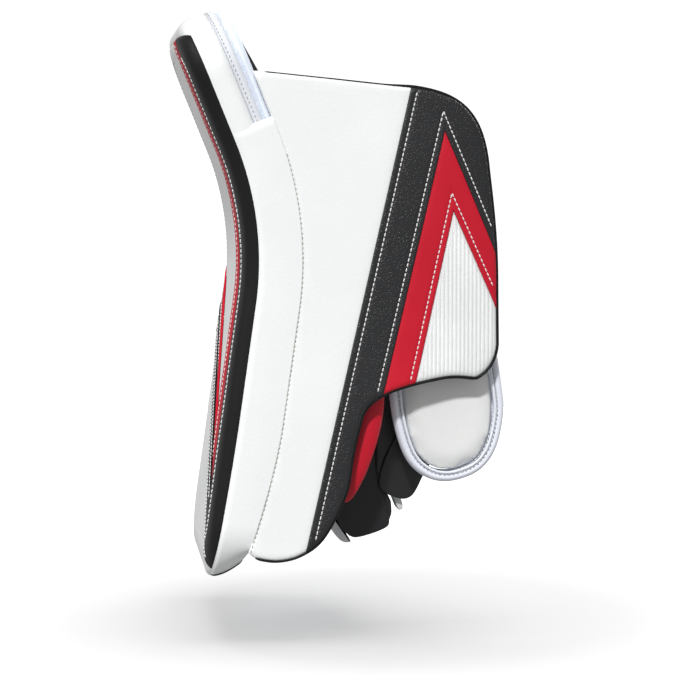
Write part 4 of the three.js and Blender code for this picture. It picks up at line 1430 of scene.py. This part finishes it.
def leather_patch(name, outline, x, thick, material, body=ROOT, nodes=(), round_off=1.4, bulge=0.0, between=None):
    """A flat shape given as (y, z) points, facing +X, with its edge turned down and its middle raised."""
    loop = spline([(*p, 0) for p in outline + outline[:1]], 5)[:-1]
    ring = anticlockwise([Vector((p.x, p.y)) for p in loop])
    rings = [ring] + [offset_ring(ring, d) for d in (0.3, 0.8, 1.5)]
    low = [min(p[i] for p in outline) for i in (0, 1)]
    high = [max(p[i] for p in outline) for i in (0, 1)]
    lines = grid_lines(low[0], high[0], 3.0, 0) + grid_lines(low[1], high[1], 3.0, 1)
    points, faces = cut_flat([[tuple(p) for p in r] for r in rings], lines)

    def place(y, z):
        rim = ring_distance(ring, y, z)
        turned = round_off * (1 - math.sqrt(1 - (1 - clamp(rim / (1.6 * round_off), 0, 1)) ** 2))
        return Vector((x - turned + bulge * smoothstep(0, 12, rim) + 0.2 * noise(Vector((y, z, x)) * 0.08), y, z))

    obj = solidified(region_mesh(name, points, faces, lambda y, z: True, place), thick)
    return dress(obj, material, body, nodes, between)


def build_index_side():
    """The index guard's rubber carries on over the thumb side of the finger."""
    outline = [(-43, 9), (-43.5, -60), (-40.5, -78), (-33.5, -86.5), (-26, -88), (-9, -82.5), (-5.5, -77),
               (-8, -66), (-11, -50), (-13.5, -20), (-14, 9)]
    bend = ((0.045, -0.025, STALL_BEND * MM + 0.009), (0.045, -0.025, STALL_BEND * MM - 0.009))
    joined = ("index_finger", "index_fingertip", *bend)
    leather_patch("index_guard_side", outline, 45.6, 0.9, "guard_black", round_off=1.0, bulge=0.7, between=joined)


INDEX_TABS = {
    "index_back_tab": [(-44, -66), (-47, -72), (-45.5, -82), (-38.5, -91), (-32, -92), (-33.4, -88.2), (-43.4, -73.6)],
    "index_palm_tab": [(-12, -48), (-4, -53), (2, -60), (4.4, -68.5), (1, -70), (-2.6, -62), (-6.4, -55.4)],
}


def bent_tab(node, outline, body):
    """A strip of palm leather folded to an outline of (y, z) points, with rounded sides."""
    loop = spline([(*p, 0) for p in outline + outline[:1]], 5)[:-1]
    ring = anticlockwise([Vector((p.x, p.y)) for p in loop])
    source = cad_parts[node]
    across = [(source.matrix_world @ Vector(corner)).x / MM for corner in source.bound_box]
    low, high = min(across), max(across)
    points, faces = [], []
    rows = [low + d for d in (0, 0.3, 0.8, 1.6, 2.6)] + [high - d for d in (2.6, 1.6, 0.8, 0.3, 0)]
    for x in rows:
        inset = 1.1 * (1 - math.sqrt(1 - (1 - clamp(min(x - low, high - x) / 2.6, 0, 1)) ** 2))
        points += [(x, p.x, p.y) for p in offset_ring(ring, inset)]
    count = len(ring)
    for i in range(len(rows) - 1):
        for k in range(count):
            a, b = i * count + k, i * count + (k + 1) % count
            faces.append((a, b, b + count, a + count))
    faces.append(list(range(count))[::-1])
    faces.append([(len(rows) - 1) * count + k for k in range(count)])
    dress(mesh_object(node + "_leather", points, faces), "palm_leather", body, (node,))


def build_fingers():
    build_index_side()
    for node, outline in INDEX_TABS.items():
        bent_tab(node, outline, "index_fingertip")
    for place, (finger, tip) in enumerate(FINGERS.items()):
        x = PITCH * (1.5 - place)
        base, end = finger + "_finger", finger + "_fingertip"
        y = (STALL_FRONT + STALL_PALM) / 2
        wrinkles = [(STALL_BEND + o, 0.05, 1.4) for o in (-7, -3.5, 0, 3.5, 7)] + [(8, 0.03, 1.6), (4, 0.03, 1.6)]
        stall = stall_mesh(finger + "_leather_stall", (x, y), (10.4, 11.0), (STALL_TOP, tip), tip, wrinkles)
        bend = ((x * MM, y * MM, (STALL_BEND + 9) * MM), (x * MM, y * MM, (STALL_BEND - 9) * MM))
        dress(stall, "black_fabric", nodes=(finger + "_stall_base", finger + "_stall_tip"), between=(base, end, *bend))
        sleeve = stall_mesh(finger + "_knuckle_sleeve", (x, y), (9.7, 10.2), (25.0, -1.0), 0, [])
        trim_below(sleeve, 4.0)
        joint = ((x * MM, y * MM, 0.022), (x * MM, y * MM, 0.010))
        dress(sleeve, "black_fabric", between=(ROOT, base, *joint))
        softened(finger + "_guard_base", "guard_black", 0.8, 12, body=base, name=finger + "_guard_pad")
        softened(finger + "_guard_tip", "guard_black", 0.7, 14 if finger == "index" else 5, body=end, name=finger + "_guard_cap")
        if finger != "index":
            tab = finger + "_palm_tab"
            softened(tab, "palm_leather", 0.5, 5, body=end, name=tab + "_leather")


def trim_below(obj, z):
    """Cuts away what is below a height and fills the holes that the cut leaves."""
    bm = bmesh.new()
    bm.from_mesh(obj.data)
    bmesh.ops.bisect_plane(bm, geom=bm.verts[:] + bm.edges[:] + bm.faces[:], plane_co=(0, 0, z * MM), plane_no=(0, 0, -1), clear_outer=True)
    edges = [e for e in bm.edges if e.is_boundary]
    if edges:
        bmesh.ops.holes_fill(bm, edges=edges, sides=0)
    bm.to_mesh(obj.data)
    bm.free()
    return obj


# ------------------------------------------------------------------ thumb

GUARD_X = (67.4, 80.4)


def guard_edge():
    path = [Vector((-10, 52))]
    path += spline(
        [(-10, 52), (-9.5, 19), (-6, -8), (2, -31), (15, -43), (31, -46), (50, -39.5), (61.5, -25), (66.7, -2), (65.4, 18), (60, 52)], 7
    )[1:]
    return path


def build_thumb():
    guard = dress(inflated("thumb_guard_pad", "thumb_guard_cushion", 3.2, 2.4, 0.8), "guard_leather", "thumb", ("thumb_guard_pad",))
    edge = resampled([Vector((p.x, p.y, 0)) for p in guard_edge()], 2.4)
    line = offset_open([Vector((p.x, p.y)) for p in edge], 2.6)
    middle = sum(GUARD_X) / 2
    path = [Vector((middle, p.x, p.y)) for p in line]
    ups = [Vector((1, 0, 0))] * len(path)
    tube("thumb_guard_tape", path, 3.3, "binding", "thumb", ("thumb_guard_binding",), sides=20, flat=1.9, ups=ups)
    inner = offset_open([Vector((p.x, p.y)) for p in edge], 6.0)
    for side, x in (("out", GUARD_X[1] - 0.4), ("in", GUARD_X[0] + 0.4)):
        path = [Vector((x, p.x, p.y)) for p in inner]
        tube("thumb_guard_cord_" + side, path, 0.9, "binding", "thumb", ups=ups, sides=8)
        row = offset_open([Vector((p.x, p.y)) for p in edge], 4.6)
        path = [Vector((x + (0.5 if side == "out" else -0.5), p.x, p.y)) for p in row]
        normal = Vector((1 if side == "out" else -1, 0, 0))
        stitch_row("thumb_guard_stitches_" + side, path, [normal] * len(path), "grey_thread", "thumb", pitch=3.0, length=1.9, radius=0.34)
    x, y = (48.8 + 67.0) / 2, 28.0
    stall = stall_mesh("thumb_leather_stall", (x, y), (9.0, 13.8), (48.0, -30.0), -30, [(30, 0.03, 2), (20, 0.03, 2), (5, 0.03, 1.6), (-2, 0.04, 1.6)])
    dress(stall, "black_leather", "thumb", ("thumb_stall",))
    outline = [(33, 2), (29, -26), (18.5, -44), (10, -59.5), (0, -61.5), (-12.5, -54), (-12, -40), (-4, -22), (12, 0)]
    # The web stretches between the palm's side and the thumb.
    joined = (ROOT, "thumb", (0.048, -0.010, -0.040), (0.048, 0.017, -0.036))
    leather_patch("thumb_web_leather", outline, 48.6, 1.0, "black_leather", "thumb", ("thumb_web_tab",), between=joined)


# ------------------------------------------------------------------ stage

LOOK_AT = Vector((0.0, -0.0272, 0.0367))
DISTANCE, AZIMUTH, ELEVATION, LENS = 1.6, math.radians(83.1), math.radians(4.2), 117.9
FLOOR_Z = -0.150
FLOOR_GLOW = (0.30, 1.1)
WORLD_LIGHT, BACKDROP, OVERHEAD_LIGHT = 0.40, 1.1, 24.0
# Each sun: name, direction to it, strength, spread in degrees.
SUNS = (
    ("key", (0.72, -0.22, 0.66), 2.75, 5.0),
    ("front", (0.25, -0.85, 0.45), 0.7, 20.0),
    ("rear", (-0.6, 0.65, 0.45), 1.4, 20.0),
)


def build_stage():
    camera = bpy.data.objects.new("camera", bpy.data.cameras.new("camera"))
    bpy.context.collection.objects.link(camera)
    direction = Vector(
        (math.sin(AZIMUTH) * math.cos(ELEVATION), -math.cos(AZIMUTH) * math.cos(ELEVATION), math.sin(ELEVATION))
    )
    camera.location = LOOK_AT + direction * DISTANCE
    camera.rotation_euler = (-direction).to_track_quat("-Z", "Y").to_euler()
    camera.data.lens = LENS
    camera.data.sensor_width = 36.0
    camera.data.clip_start = 0.05
    bpy.context.scene.camera = camera

    build_floor()
    build_world()
    build_lights(bpy.data.objects["floor"])
    bpy.context.scene.view_settings.view_transform = "Standard"


def build_floor():
    """A pale round floor: near the object it takes shadows, and further out it glows into the backdrop."""
    n = Nodes("floor")
    away = n.add("ShaderNodeVectorMath", operation="LENGTH")
    n.join(n.place, away, 0)
    glow = n.ramp(away.outputs["Value"], 0.16, 0.75, FLOOR_GLOW[0], FLOOR_GLOW[1])
    fine = n.noise(6.0, 2.0)
    colour = n.tint(fine, (0.90, 0.90, 0.90), (0.92, 0.92, 0.92))
    material = n.finish(colour, n.ramp(fine, 0, 1, 0.9, 0.95), Specular_IOR_Level=0.0)
    shader = next(node for node in n.tree.nodes if node.type == "BSDF_PRINCIPLED")
    shader.inputs["Emission Color"].default_value = (1, 1, 1, 1)
    n.join(glow, shader, "Emission Strength")
    ring = [(1500 * math.cos(math.pi * k / 48), 1500 * math.sin(math.pi * k / 48), 0) for k in range(96)]
    floor = mesh_object("floor", ring, [tuple(range(96))])
    floor.location.z = FLOOR_Z
    floor.data.materials.append(material)
    floor.visible_diffuse = floor.visible_glossy = False


def build_world():
    """An even soft light, in front of a backdrop that is white to look at."""
    world = bpy.data.worlds.new("studio")
    bpy.context.scene.world = world
    world.use_nodes = True
    tree = world.node_tree
    background = tree.nodes["Background"]
    background.inputs["Color"].default_value = (1, 1, 1, 1)
    strength = tree.nodes.new("ShaderNodeMapRange")
    strength.inputs["To Min"].default_value = WORLD_LIGHT
    strength.inputs["To Max"].default_value = BACKDROP
    seen = tree.nodes.new("ShaderNodeLightPath").outputs["Is Camera Ray"]
    tree.links.new(seen, strength.inputs["Value"])
    tree.links.new(strength.outputs["Result"], background.inputs["Strength"])


def build_lights(floor):
    """Suns that light everything but the floor, and an overhead light that gives the floor its soft shadow."""
    for state, lamps in (("EXCLUDE", SUNS), ("INCLUDE", ())):
        group = bpy.data.collections.new("floor_" + state.lower())
        group.objects.link(floor)
        for item in group.collection_objects:
            item.light_linking.link_state = state
        for name, direction, strength, spread in lamps:
            light = bpy.data.lights.new(name, "SUN")
            light.energy = strength
            light.angle = math.radians(spread)
            obj = bpy.data.objects.new(name, light)
            obj.rotation_euler = Vector(direction).to_track_quat("Z", "Y").to_euler()
            bpy.context.collection.objects.link(obj)
            obj.light_linking.receiver_collection = group
    light = bpy.data.lights.new("overhead", "AREA")
    light.shape = "RECTANGLE"
    light.size = light.size_y = 2.0
    light.energy = OVERHEAD_LIGHT
    obj = bpy.data.objects.new("overhead", light)
    obj.location = (0, 0, 2.2)
    bpy.context.collection.objects.link(obj)
    obj.light_linking.receiver_collection = group


build_face()
build_board_sides()
build_flange()
build_wall()
build_wall_inside()
build_wall_roll()
build_little_side()
build_hand()
build_hand_stitches()
build_strap()
build_fingers()
build_thumb()
build_stage()
